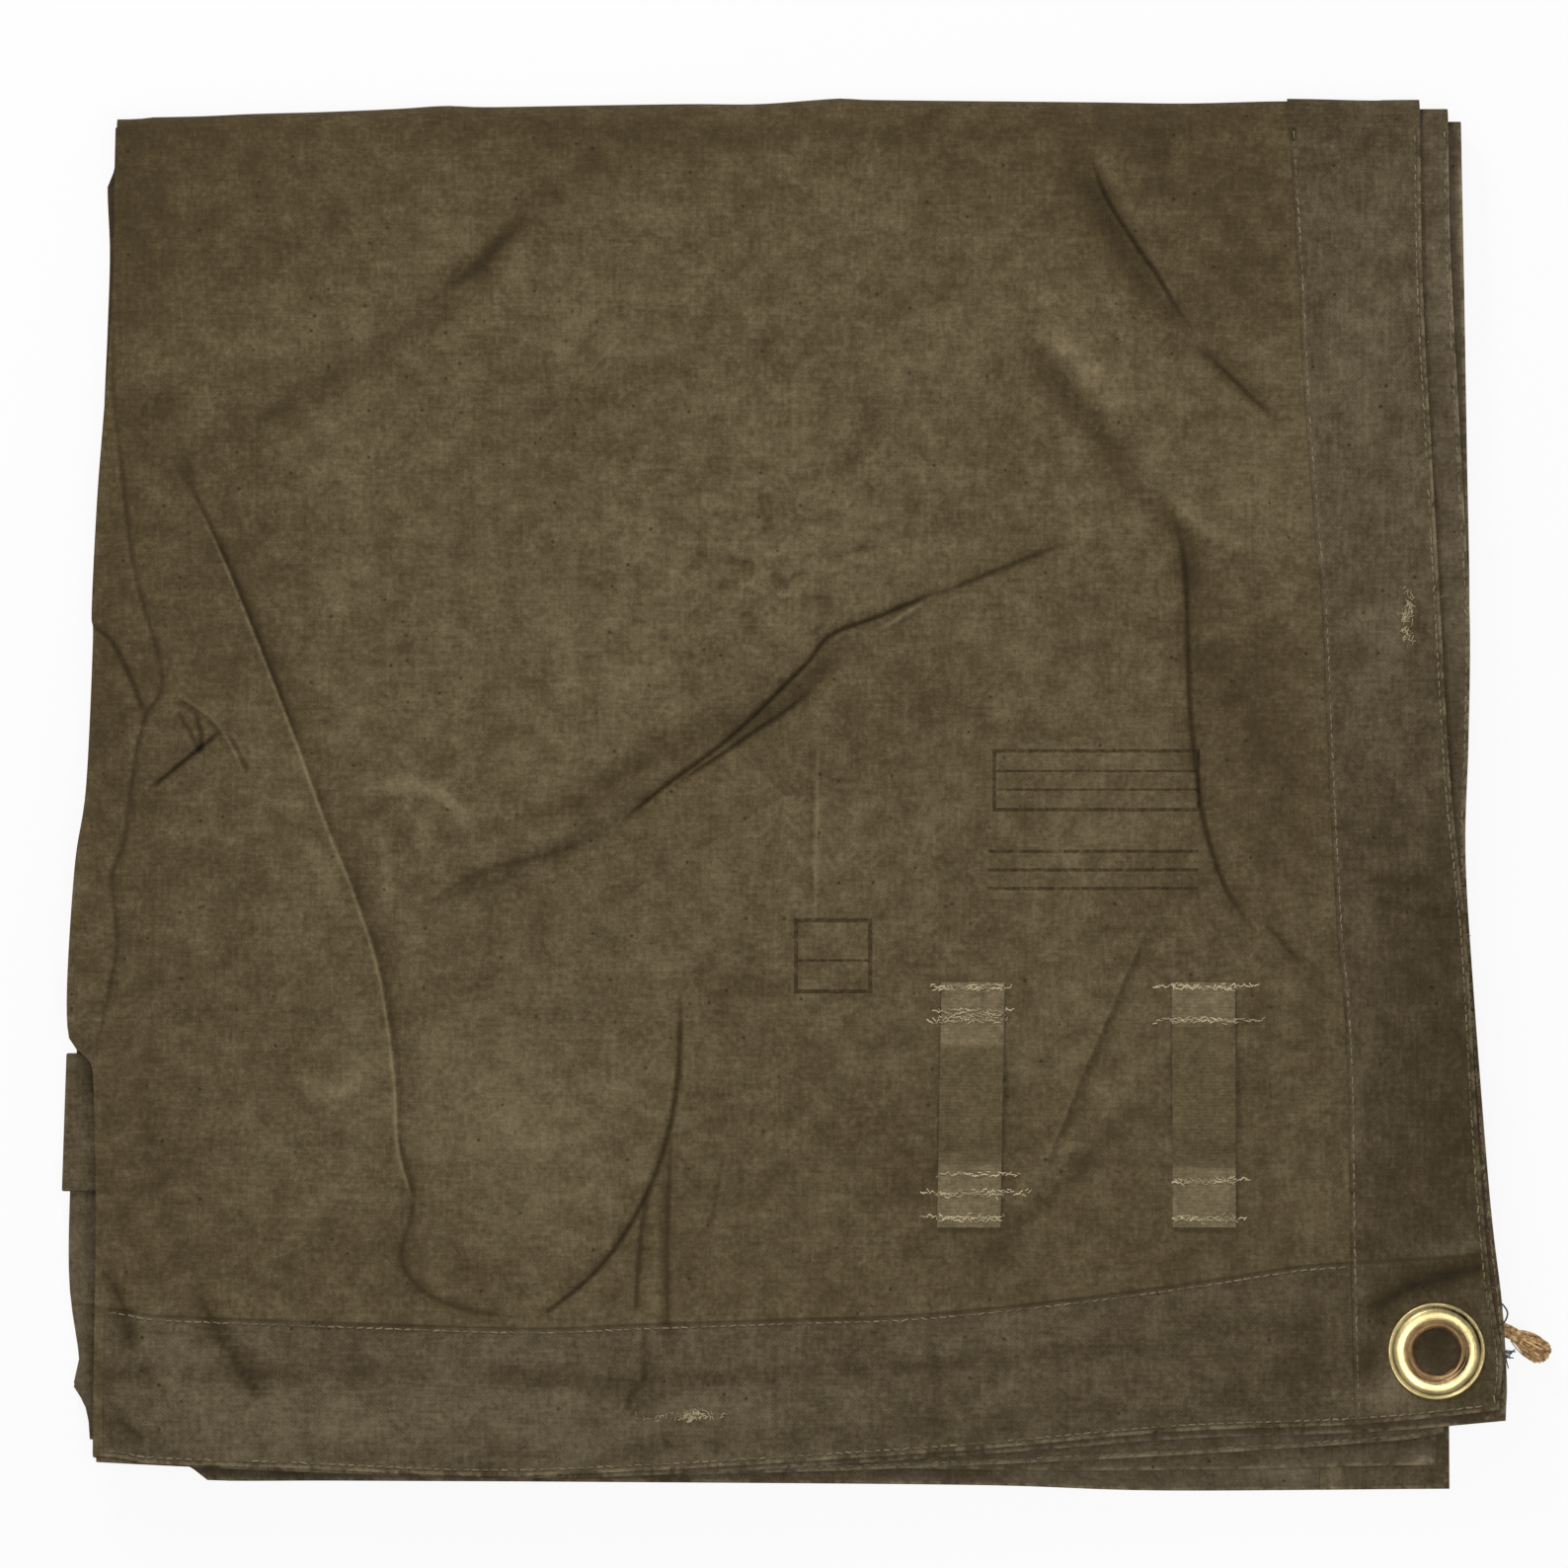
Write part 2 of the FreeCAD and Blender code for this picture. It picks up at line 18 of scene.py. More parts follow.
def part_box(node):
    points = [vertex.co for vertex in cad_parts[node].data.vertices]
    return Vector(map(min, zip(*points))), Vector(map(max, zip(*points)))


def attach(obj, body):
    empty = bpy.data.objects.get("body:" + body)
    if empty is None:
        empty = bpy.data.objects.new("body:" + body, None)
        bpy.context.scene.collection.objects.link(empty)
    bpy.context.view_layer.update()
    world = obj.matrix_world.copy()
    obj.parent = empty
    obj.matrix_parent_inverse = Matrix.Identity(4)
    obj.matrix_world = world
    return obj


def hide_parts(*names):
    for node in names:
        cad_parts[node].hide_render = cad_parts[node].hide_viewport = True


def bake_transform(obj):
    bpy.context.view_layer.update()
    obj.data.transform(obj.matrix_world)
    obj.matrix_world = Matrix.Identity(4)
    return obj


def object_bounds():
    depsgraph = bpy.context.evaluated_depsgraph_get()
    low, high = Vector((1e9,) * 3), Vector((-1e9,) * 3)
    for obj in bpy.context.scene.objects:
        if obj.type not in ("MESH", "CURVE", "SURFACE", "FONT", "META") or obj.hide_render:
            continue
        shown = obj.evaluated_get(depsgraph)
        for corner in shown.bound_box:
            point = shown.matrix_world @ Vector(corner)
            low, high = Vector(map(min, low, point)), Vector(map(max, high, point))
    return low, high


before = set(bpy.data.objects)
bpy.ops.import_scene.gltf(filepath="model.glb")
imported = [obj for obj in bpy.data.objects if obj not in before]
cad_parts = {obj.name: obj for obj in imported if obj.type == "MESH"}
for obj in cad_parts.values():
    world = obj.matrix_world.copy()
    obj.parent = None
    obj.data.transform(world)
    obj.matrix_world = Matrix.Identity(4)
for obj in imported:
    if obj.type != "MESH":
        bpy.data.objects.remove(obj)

MM = 0.001
CAD_BOX = [[float(c) for c in corner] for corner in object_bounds()]
SETTLING_ROUNDS = 6
log = logging.getLogger("mail_sack")

Points = Sequence[tuple[float, ...]]
Field = Callable[[np.ndarray], np.ndarray]


def low_corner(node: str) -> Vector:
    """The lowest corner of a CAD node."""
    return Vector(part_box(node)[0])


def high_corner(node: str) -> Vector:
    """The highest corner of a CAD node."""
    return Vector(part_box(node)[1])


def smooth_line(points: Points, steps: int = 10) -> np.ndarray:
    """A smooth line through points.

    Args:
        points: points in millimetres, in two or three dimensions.
        steps: pieces that each stretch between two points is divided into.

    Returns:
        The line's points in metres, one per row.
    """
    given = np.array(points, float) * MM
    if len(given) == 2:
        return given
    ends = [2 * given[0] - given[1], *given, 2 * given[-1] - given[-2]]
    share = np.linspace(0, 1, steps, endpoint=False)[:, None]
    line = []
    for a, b, c, d in zip(ends, ends[1:], ends[2:], ends[3:]):
        curve = 2 * b + (c - a) * share + (2 * a - 5 * b + 4 * c - d) * share ** 2
        line.append((curve + (3 * b - a - 3 * c + d) * share ** 3) / 2)
    return np.vstack([*line, given[-1:]])


def smooth_step(value: np.ndarray, low: float, high: float) -> np.ndarray:
    """Rises smoothly from 0 at low to 1 at high."""
    share = np.clip((value - low) / (high - low), 0, 1)
    return share * share * (3 - 2 * share)


def bell(distance: np.ndarray, width: float) -> np.ndarray:
    """1 at no distance, falling to almost nothing at twice the width."""
    return np.exp(-(distance / width) ** 2)


@dataclass(frozen=True)
class Edge:
    """A smooth edge through a few points in millimetres."""

    points: Points

    def x_at(self, y: np.ndarray) -> np.ndarray:
        """Where an edge that runs up the plan lies at y, in metres."""
        line = smooth_line(self.points)
        line = line[line[:, 1].argsort()]
        return np.interp(y, line[:, 1], line[:, 0])

    def y_at(self, x: np.ndarray) -> np.ndarray:
        """Where an edge that runs across the plan lies at x, in metres."""
        line = smooth_line(self.points)
        line = line[line[:, 0].argsort()]
        return np.interp(x, line[:, 0], line[:, 1])

    def moved(self, x: float = 0.0, y: float = 0.0) -> "Edge":
        """The same edge moved in the plan, in millimetres."""
        return Edge(tuple((px + x, py + y) for px, py in self.points))

    def upward(self, low: float, high: float, count: int, shift: float = 0.0) -> np.ndarray:
        """Points of an edge that runs up the plan, in metres.

        Args:
            low: the first point's y.
            high: the last point's y.
            count: the number of points.
            shift: how far the points are moved to the right.

        Returns:
            The points, one per row.
        """
        y = np.linspace(low, high, count)
        return np.column_stack([self.x_at(y) + shift, y])

    def along(self, low: float, high: float, count: int, shift: float = 0.0) -> np.ndarray:
        """Points of an edge that runs across the plan, from x to x and moved up by a shift, in metres."""
        x = np.linspace(low, high, count)
        return np.column_stack([x, self.y_at(x) + shift])


@dataclass(frozen=True)
class Region:
    """A piece of the plan between four edges."""

    left: Edge
    right: Edge
    low: Edge
    high: Edge

    def place(self, across: np.ndarray, up: np.ndarray) -> np.ndarray:
        """Points of the region.

        Args:
            across: shares of the way from the left to the right edge.
            up: shares of the way from the low to the high edge.

        Returns:
            One point per row, in metres.
        """
        x = self.left.x_at(up * 0) + across * 0
        y = up * 0
        for _ in range(SETTLING_ROUNDS):
            y = self.low.y_at(x) + up * (self.high.y_at(x) - self.low.y_at(x))
            x = self.left.x_at(y) + across * (self.right.x_at(y) - self.left.x_at(y))
        return np.column_stack([x, y])


class Fold(Enum):
    """The kinds of crease in worn canvas."""

    RIDGE = "a crest that is gentle on its right and steep on its left"
    GROOVE = "a sharp dark line"
    SWELL = "a soft rounded rise"
    STEP = "high ground on the left that drops to the right"


@dataclass(frozen=True)
class Crease:
    """A crease of the top leaf along a smooth line. Left and right are as seen going along it.

    Lengths are in millimetres. The line's own lightening stands for rubbed wear and a painted highlight on
    crests when positive, and for soil and painted shade in grooves when negative; the taper is the share of
    the length over which the crease fades in at each end; and the band beside it, given as lightening, shift
    and spread, is painted shade and painted light beside the crease along with its soil.
    """

    fold: Fold
    points: Points
    height: float
    width: float
    taper: float = 0.25
    mark: float = 0.0
    soil_and_shading_band: tuple[float, float, float] = (0.0, 0.0, 4.0)
    reach: float = 34.0
    line_width: float = 0.75

    def measure(self, plan: np.ndarray) -> tuple[np.ndarray, np.ndarray]:
        """Where points lie beside the line.

        Args:
            plan: points, one per row, in metres.

        Returns:
            The distance in millimetres, positive on the left, and the line's strength there.
        """
        line = smooth_line(self.points, steps=7)[:, :2]
        margin = self.reach * MM
        near = ((plan > line.min(0) - margin) & (plan < line.max(0) + margin)).all(1)
        gaps, strengths = np.full(len(plan), 1000.0), np.zeros(len(plan))
        if not near.any():
            return gaps, strengths
        run = np.diff(line, axis=0)
        length = np.hypot(*run.T)
        offset = plan[near][:, None] - line[None, :-1]
        share = np.clip((offset * run).sum(2) / length ** 2, 0, 1)
        gap = offset - share[..., None] * run
        far = np.hypot(gap[..., 0], gap[..., 1])
        best = far.argmin(1)
        rows = np.arange(len(best))
        side = run[best, 0] * offset[rows, best, 1] - run[best, 1] * offset[rows, best, 0]
        starts = np.concatenate([[0], np.cumsum(length)[:-1]])
        along = (starts[best] + share[rows, best] * length[best]) / length.sum()
        gaps[near] = np.where(side >= 0, 1, -1) * far[rows, best] / MM
        strengths[near] = smooth_step(np.minimum(along, 1 - along), -0.02, self.taper)
        return gaps, strengths

    def shape(self, gap: np.ndarray) -> np.ndarray:
        """The height across the crease as a share of its full height, from the distance beside it."""
        far, width = np.abs(gap), self.width
        if self.fold is Fold.RIDGE:
            gentle = np.exp(-far / (3.2 * width))
            steep = 1.3 * bell(far, 0.75 * width) - 0.3 * bell(far, 3 * width)
            return np.where(gap > 0, steep, gentle)
        if self.fold is Fold.GROOVE:
            return 0.55 * np.exp(-far / (3.5 * width)) - bell(far, 0.55 * width)
        if self.fold is Fold.SWELL:
            return bell(far, width)
        rise = 1 / (1 + np.exp(-np.clip(gap / (0.35 * width), -30, 30)))
        fall = np.exp(-np.maximum(gap, 0) / (7 * width))
        return rise * fall - 0.25 * bell(gap + 0.8 * width, 0.6 * width)

    def relief(self, plan: np.ndarray) -> np.ndarray:
        """The crease's height over flat cloth, in millimetres."""
        gap, strength = self.measure(plan)
        fade = 1 - smooth_step(np.abs(gap), 0.7 * self.reach, self.reach)
        return self.height * strength * self.shape(gap) * fade

    def line_wear_and_shading(self, plan: np.ndarray) -> np.ndarray:
        """How the crease is coloured: positive is rubbed pale with a painted highlight, negative is soil with
        painted shade.
        """
        gap, strength = self.measure(plan)
        amount, shift, spread = self.soil_and_shading_band
        return strength * (self.mark * bell(gap, self.line_width) + amount * bell(gap - shift, spread))


@dataclass(frozen=True)
class Patch:
    """A soft patch of the cloth that is lighter or darker, in millimetres, turned by degrees."""

    centre: tuple[float, float]
    radius: tuple[float, float]
    tone: float
    turn: float = 0.0

    def tone_at(self, plan: np.ndarray) -> np.ndarray:
        """The patch's share of lightening at points in metres."""
        offset = plan / MM - np.array(self.centre)
        turn = math.radians(self.turn)
        x = offset[:, 0] * math.cos(turn) + offset[:, 1] * math.sin(turn)
        y = offset[:, 1] * math.cos(turn) - offset[:, 0] * math.sin(turn)
        return self.tone * np.exp(-((x / self.radius[0]) ** 2 + (y / self.radius[1]) ** 2))


TOP_FOLD_Y = low_corner("front_panel_top_fold").y / MM
EYELET = (low_corner("corner_eyelet") + high_corner("corner_eyelet")) / 2
EYELET_HOLE = 11 * MM
CLOTH_GLOSS = 0.12
FAR_INSIDE = 0.1
TOP_FOLD = Edge(((-300, TOP_FOLD_Y), (300, TOP_FOLD_Y)))

MOUTH_EDGE = Edge(((205.5, 240), (206.7, 165), (209.3, 116), (212.3, 62), (215.7, 4), (220.8, -46),
    (224.6, -110), (228.2, -155), (232.4, -182), (231.4, -199), (230.5, -240)))
BACK_MOUTH_EDGE = Edge(((214.4, 240), (215, 216), (215.5, 185), (216.6, 158), (218.4, 125), (219.8, 100),
    (222, 57), (221.6, 18), (220.6, -18), (223, -60), (228.5, -130), (232.5, -165), (234, -190),
    (233.6, -203), (233, -240)))
LEAF_2_END = Edge(((219, 240), (219.3, 216), (220.3, 165), (221.2, 111), (222, 62), (221, 18), (219, -50),
    (215, -160), (212.5, -240)))
LEAF_3_END = Edge(((217, 240), (218, 60), (213, -120), (211, -240)))
LEAF_4_MOUTH = Edge(((214.8, 240), (216, 100), (215.4, -100), (216, -240)))
SIDE_EDGE = Edge(((-300, -210), (-224, -213.6), (-204, -216.2), (-162, -217.6), (-98, -220.2),
    (-49, -218.7), (1, -215.8), (61, -211.7), (126, -205.9), (186, -203.4), (231.4, -198.9), (300, -190)))
BACK_SIDE_EDGE = Edge(((-300, -211), (-204, -216.8), (-98, -220.8), (-30, -219.4), (60, -213.6),
    (130, -208.2), (190, -206), (234, -202.4), (300, -196)))
LEAF_2_SIDE = Edge(((-300, -212), (-98, -219.6), (-45, -220), (0, -219.2), (61, -217), (135, -213.2),
    (200, -208.8), (214, -206.5), (300, -200)))
LEAF_3_SIDE = Edge(((-300, -200), (-232, -200), (-205, -211), (65, -218.6), (216, -217), (300, -217)))
LEAF_4_SIDE = Edge(((-300, -204), (-224, -208), (-194, -216.6), (-191, -217.2), (-189.6, -222),
    (-144, -222.4), (-63, -222.8), (61, -223.8), (123, -225.6), (216, -225), (300, -225)))
UPPER_FOLD = Edge(((-215.8, 240), (-216.8, 206), (-217.6, 160), (-220.6, 121), (-222.6, 95), (-224.3, 60),
    (-223.9, 50), (-226.1, 3), (-229.6, -21), (-232, -55), (-232.2, -74), (-230.4, -81), (-225.2, -85.5),
    (-223.6, -96), (-223, -140), (-223.9, -205), (-224, -260)))
LOWER_FOLD = Edge(((-216.5, 240), (-216.6, 206), (-219.5, 199), (-218.8, 176), (-219.6, 150),
    (-220.8, 121), (-222.4, 62), (-225, 3), (-228, -21), (-230, -57), (-229.6, -84), (-231.8, -130),
    (-231.9, -159), (-228.8, -183), (-230.6, -192.5), (-225.6, -204), (-225, -260)))
PRESSED_FOLD = ((-217.4, 160), (-217.2, 131), (-214.6, 109), (-213.2, 96), (-211, 78), (-207.4, 62),
    (-202.6, 46), (-201.2, 37), (-203, 31), (-207, 24.5), (-210.5, 8), (-213.4, -14), (-217.4, -26),
    (-216.4, -38), (-216, -50), (-219.4, -68), (-221.6, -77), (-223.6, -84))
MOUTH_SEAM = Edge(((164.4, 240), (164.6, 222), (168.3, 159), (169.9, 126), (173.1, 87), (175.4, 61.6),
    (177.6, 11), (180.2, -40), (182.4, -65), (184, -94), (184.6, -142), (185.6, -185), (186.2, -204),
    (186.6, -240)))
SIDE_SEAM = Edge(((-300, -160), (-223, -166.9), (-206, -169.4), (-189, -170.4), (-136, -172.3),
    (-83, -173.9), (-46, -172.6), (1, -171), (44.5, -169.4), (94, -164.3), (136, -158.6), (160, -154.8),
    (184, -152.5), (300, -146)))

LEAF_1 = (MOUTH_EDGE, SIDE_EDGE)
BACK_LEAF = (BACK_MOUTH_EDGE, BACK_SIDE_EDGE)
LEAF_2 = (LEAF_2_END, LEAF_2_SIDE)
LEAF_3 = (LEAF_3_END, LEAF_3_SIDE)
LEAF_4 = (LEAF_4_MOUTH, LEAF_4_SIDE)

RIDGE, GROOVE, SWELL, STEP = Fold
CREASES = tuple(Crease(*row) for row in (
    # the long crease down the left
    (RIDGE, ((-192, 99), (-181, 75), (-168, 43), (-158.4, 18), (-149, -8), (-139, -33), (-131, -59),
     (-126.4, -91), (-124.6, -117), (-116.8, -139)), 1.6, 1.4, 0.1, 0.52, (-0.24, 1.7, 1.2)),
    (GROOVE, ((-194, 104), (-192.4, 101), (-180, 75), (-167, 43), (-157, 17)), 0.6, 1.5, 0.12, -0.6),
    (SWELL, ((-165, 10), (-150, -40), (-140, -90), (-138, -130)), 1.2, 16, 0.3),
    (SWELL, ((-186, 92), (-163, 40), (-145, -8), (-128, -60), (-121, -120)), -0.5, 5, 0.2, 0.0,
     (-0.15, 0, 5)),
    (GROOVE, ((-124, -112), (-120, -132), (-124, -150), (-116, -161), (-101, -167), (-82, -169.5)), 0.5,
     1.8, 0.2, -0.4, (-0.2, 0, 3)),
    (SWELL, ((-175, -158), (-155, -139), (-136, -120)), 0.9, 3.5, 0.3, 0.0, (0.16, 0, 2.5)),
    # the pleat across the middle
    (GROOVE, ((50, 66), (31.4, 58.2), (15.4, 52), (8, 43.4), (0.6, 36), (-9, 26.4), (-18.6, 17.8),
     (-28.2, 10.4), (-39, 2.7), (-51.5, -7.6)), 1.1, 1.4, 0.08, -0.74, (-0.14, -1, 3)),
    (GROOVE, ((14, 40), (5.8, 31.5), (-2.6, 25.1), (-9, 21), (-17.6, 15), (-27.2, 8.7), (-39, 1.2)), 0.9,
     1.3, 0.3, -0.7, (-0.1, -1, 3)),
    (SWELL, ((26, 54), (10, 38), (-4, 27), (-20, 14)), -0.4, 3.4, 0.3, 0.0, (-0.42, 0, 3.2)),
    (SWELL, ((29, 52.4), (37, 57.4), (46.4, 63.5)), 0.5, 1.2, 0.3, 0.0, (0.5, 0, 0.8)),
    (GROOVE, ((92, 82), (72, 74), (46, 63.6)), 0.7, 1.6, 0.3, -0.55, (-0.14, 0, 2.6)),
    (STEP, ((-120, -40), (-94, -26), (-50, -2), (-8, 32), (27, 57), (60, 72)), 1.9, 7, 0.25),
    (STEP, ((-92, -8), (-69, -2.4), (-58, 5), (-43, 14.6), (-26, 23.2), (-8, 36)), 1.2, 6, 0.3, 0.0,
     (-0.28, -1, 5)),
    (STEP, ((-122, -39), (-101, -26), (-88, -21.6), (-68.8, -16.5), (-54, -8)), 0.7, 4, 0.3, -0.24,
     (-0.2, -1, 3.2)),
    (SWELL, ((-96, -20), (-70, -9), (-50, 2)), 0.8, 4, 0.3, 0.0, (0.08, 0, 4)),
    # the folds at the upper right
    (RIDGE, ((133, 150), (121, 167), (106, 190), (90, 216)), 2.2, 5.5, 0.2, 0.0, (-0.42, 4.2, 5)),
    (GROOVE, ((99, 209), (102, 199), (105.5, 191.3), (113.2, 179.1), (121, 168), (127.6, 157),
     (132.4, 150.6)), 0.8, 1.5, 0.25, -0.95),
    (SWELL, ((98.8, 212.3), (108.6, 197), (117, 183)), 0.7, 2, 0.3, 0.0, (0.2, 0, 1.6)),
    (SWELL, ((110, 218), (119, 211), (128, 203)), -1.0, 4, 0.3, 0.0, (-0.25, 0, 5)),
    (SWELL, ((134, 145.5), (142, 138.1), (149.8, 130.4), (158.6, 122.6), (166, 118.6)), -1.6, 3.2, 0.2,
     0.0, (-0.34, 0, 2.4)),
    (GROOVE, ((134, 145.5), (142, 138.1), (149.8, 130.4), (158.6, 122.6)), 0.6, 1.5, 0.25, -0.6),
    (RIDGE, ((122, 96), (111, 113), (98, 131), (86.5, 146), (76, 155)), 3.4, 6.0, 0.2, 0.0,
     (-0.36, 6, 5)),
    (SWELL, ((114, 119), (101, 133.7), (90, 145.5), (79, 154)), 0.8, 7, 0.3, 0.0, (0.40, 0, 4.5)),
    (SWELL, ((122, 98), (136.5, 87.2), (154.2, 76.1)), 1.6, 4.5, 0.25, 0.0, (0.28, 0, 3)),
    (SWELL, ((119, 99), (125, 90), (129.8, 82), (132, 62)), -1.0, 4, 0.25, 0.0, (-0.34, 0, 3.4)),
    (SWELL, ((130, 84), (137, 60), (142, 37), (156, 20), (171, 5)), -0.8, 5, 0.3, 0.0, (-0.2, 0, 5)),
    (GROOVE, ((126, 92), (130, 72), (131.4, 30), (134, 5), (136.6, -11), (143, -30), (153, -45)), 0.9,
     1.5, 0.16, -0.75, (-0.14, 1.5, 3.5)),
    (STEP, ((154, -49), (143, -31), (136, -11), (132.5, 11), (130, 60)), 1.8, 5, 0.3),
    (GROOVE, ((153.6, -40), (160, -46), (168.5, -56)), 0.6, 1.8, 0.3, -0.4, (-0.2, 0, 3)),
    (GROOVE, ((184, -26), (200, -28), (216, -27)), 0.5, 2.4, 0.3, -0.2, (-0.12, 0, 3)),
    (GROOVE, ((188, -34), (204, -37), (223, -40)), 0.5, 2.4, 0.3, -0.2, (-0.12, 0, 3)),
    # the folds at the lower middle
    (GROOVE, ((-33.4, -64), (-35, -97), (-43, -126), (-59, -152), (-82, -171.5)), 0.8, 1.2, 0.12, -0.74,
     (-0.07, -2, 3.5)),
    (RIDGE, ((-36, -68), (-37.6, -97), (-45.6, -125), (-61, -149.6), (-83, -168)), 0.9, 2.6, 0.2),
    (GROOVE, ((-36.6, -105), (-37.8, -139), (-38, -170), (-38, -184)), 0.5, 1.6, 0.25, -0.42,
     (-0.12, -1, 2.4)),
    (GROOVE, ((-44, -128), (-46.2, -141), (-48.3, -169)), 0.6, 1.4, 0.16, -0.55, (-0.1, 1.5, 2.4)),
    (GROOVE, ((-45.2, -172), (-45.2, -187), (-50, -195), (-48.4, -202)), 0.6, 1.5, 0.16, -0.55,
     (-0.14, 1.5, 2.4)),
    (SWELL, ((-41.5, -120), (-41.8, -165), (-41.6, -190)), 0.7, 2.4, 0.2, 0.0, (0.2, 0, 1.7)),
    (GROOVE, ((-19.2, -115), (-22, -130), (-24, -143)), 0.4, 2.0, 0.3, -0.25),
    (RIDGE, ((9.8, -46), (10.4, -12), (10.8, 20)), 0.6, 1.2, 0.2, 0.26, (-0.16, 1.8, 1.2)),
    (SWELL, ((-37, -61), (-15, -61), (5, -60)), -0.8, 4, 0.3, 0.0, (-0.18, 0, 3.5)),
    (SWELL, ((-69, -70), (-50, -72), (-35, -76)), -0.6, 3.5, 0.3, 0.0, (-0.14, 0, 3)),
    (RIDGE, ((118.4, -40), (104, -72), (88, -110), (81, -127)), 0.9, 1.8, 0.2, 0.14, (-0.26, 1.8, 1.6)),
    (STEP, ((52, -159), (70, -144), (84, -130), (104, -110), (123, -94)), 1.3, 4.5, 0.25, 0.0,
     (-0.22, -1, 3.4)),
    (SWELL, ((74, -128), (90, -116), (104, -100)), 0.5, 5, 0.3, 0.0, (0.14, 0, 5)),
    (SWELL, ((232, -144), (216, -147), (200, -151)), 0.5, 4, 0.3, 0.0, (0.26, 0, 3.2)),
    (SWELL, ((46, -168), (49, -186), (48.6, -208)), -0.5, 2.6, 0.3, 0.0, (-0.2, 0, 2)),
    # the folds round the left edge
    (STEP, tuple(reversed(PRESSED_FOLD)), 1.2, 2.6, 0.1),
    (GROOVE, PRESSED_FOLD, 0.4, 1.3, 0.1, -0.32, (0.1, -1.6, 1)),
    (GROOVE, ((-225, 56), (-218, 50), (-212, 39), (-206.7, 25)), 0.9, 1.7, 0.12, -0.7),
    (RIDGE, ((-176, 8), (-179, 16), (-184, 23.5), (-190, 28.4), (-198, 33.6)), 0.9, 1.1, 0.2, 0.2,
     (-0.25, 1.6, 1)),
    (GROOVE, ((-197, 28), (-192, 20), (-188.6, 12.5)), 0.6, 1.2, 0.25, -0.6),
    (GROOVE, ((-190.5, 27), (-188.6, 19), (-189.4, 13)), 0.8, 1.7, 0.2, -0.9),
    (GROOVE, ((-181.5, 21.4), (-189.4, 15), (-195.8, 9.8), (-206, 1.6)), 0.9, 1.2, 0.2, -1.0),
    (GROOVE, ((-181.5, 21.4), (-176.5, 14), (-173.6, 7)), 0.5, 1.2, 0.25, -0.5),
    (SWELL, ((-204, 36), (-194, 22), (-200, 8)), 1.2, 7, 0.3),
    (STEP, ((-197, 101), (-187, 115), (-152, 133), (-123, 152), (-107, 163.4), (-82, 190.6), (-56, 214)),
     2.0, 8, 0.2, 0.0, (-0.24, -1.5, 5)),
    (SWELL, ((-110, 161), (-96, 175), (-80, 193)), -0.7, 3.5, 0.3, 0.0, (-0.16, 0, 3)),
    (SWELL, ((-118, 160), (-104, 166), (-94, 175), (-84, 188)), -0.6, 2.0, 0.3, 0.0, (-0.26, 0.6, 1.6)),
    (STEP, ((-217, 119), (-205, 125), (-193, 133)), 1.2, 5, 0.3, 0.0, (-0.28, -1, 4)),
    (SWELL, ((-206, -59), (-204, -107), (-197, -155)), -0.5, 3.5, 0.3, 0.0, (-0.14, 0, 3)),
    (GROOVE, ((-222.6, -151), (-214.6, -164), (-210, -184)), 0.6, 2.4, 0.25, -0.3, (-0.3, 0, 3.6)),
    (GROOVE, ((-191, -160), (-181, -177), (-168, -198)), 0.8, 2.6, 0.2, -0.35, (-0.36, 0, 4.2)),
    (GROOVE, ((-218, -199), (-206, -210)), 0.5, 2.6, 0.3, -0.3, (-0.2, 0, 3.5)),
    # the bulge over the eyelet
    (STEP, ((230, -152), (216, -154), (203, -158), (196, -163), (189, -172)), 2.2, 3.4, 0.12, 0.0,
     (-0.22, -1.5, 3.6)),
    (GROOVE, ((231, -151.6), (226.5, -152.7), (212.8, -155.7), (204.3, -158.2), (196.6, -162),
     (188, -167.4)), 0.9, 2.4, 0.14, 0.0, (-0.62, 0, 1.9)),
    (GROOVE, ((164.8, 224), (164.6, 212)), 0.4, 1.2, 0.05, -1.0),
    (SWELL, ((232, -140), (214, -138), (198, -146)), 1.6, 13, 0.35),
    # small wrinkles, lightened along them: partly rubbed wear, partly painted highlight
    (SWELL, ((-136, -2), (-125, 3.8), (-112, 1), (-103, -8), (-100, -22)), 0.5, 3, 0.3, 0.0,
     (0.42, 0, 2.6)),
    (SWELL, ((-129.6, -9), (-129, -24), (-128, -37)), 0.4, 2, 0.3, 0.0, (0.32, 0, 1.7)),
    (SWELL, ((-118, -3), (-117, -24)), 0.4, 2, 0.3, 0.0, (0.24, 0, 1.7)),
    (SWELL, ((-154, -13), (-150, -25), (-145, -38)), 0.4, 3, 0.3, 0.0, (0.26, 0, 2.6)),
    (SWELL, ((-158, -84), (-152, -96), (-141, -94), (-136, -82)), 0.4, 3, 0.25, 0.0, (0.2, 0, 3)),
    (SWELL, ((28, 101), (22, 92), (16, 87)), 0.8, 3, 0.3, 0.0, (0.2, 0, 2.2)),
    (SWELL, ((43, 100), (41, 90), (40, 76)), -0.8, 2.6, 0.3, 0.0, (-0.2, 0, 2)),
    (SWELL, ((36, 83), (41, 77), (44, 70)), 0.7, 2.6, 0.3, 0.0, (0.16, 0, 2)),
    (SWELL, ((2, 80), (-8, 70), (-22, 62)), 0.8, 4, 0.3, 0.0, (0.1, 0, 3)),
    (SWELL, ((30, 118), (12, 104), (0, 98)), -0.7, 4, 0.3, 0.0, (-0.12, 0, 3)),
    (SWELL, ((-28, 50), (-44, 40), (-60, 36)), 0.8, 4, 0.3, 0.0, (0.12, 0, 3)),
    (SWELL, ((-2, 62), (-24, 46), (-40, 34)), -0.8, 4, 0.3, 0.0, (-0.12, 0, 3)),
    (SWELL, ((62, 141), (44, 139), (24, 128)), 0.8, 6, 0.3, 0.0, (0.14, 0, 5)),
    (SWELL, ((-196, 103), (-190, 106)), -0.8, 6, 0.3, 0.0, (-0.3, 0, 6)),
))
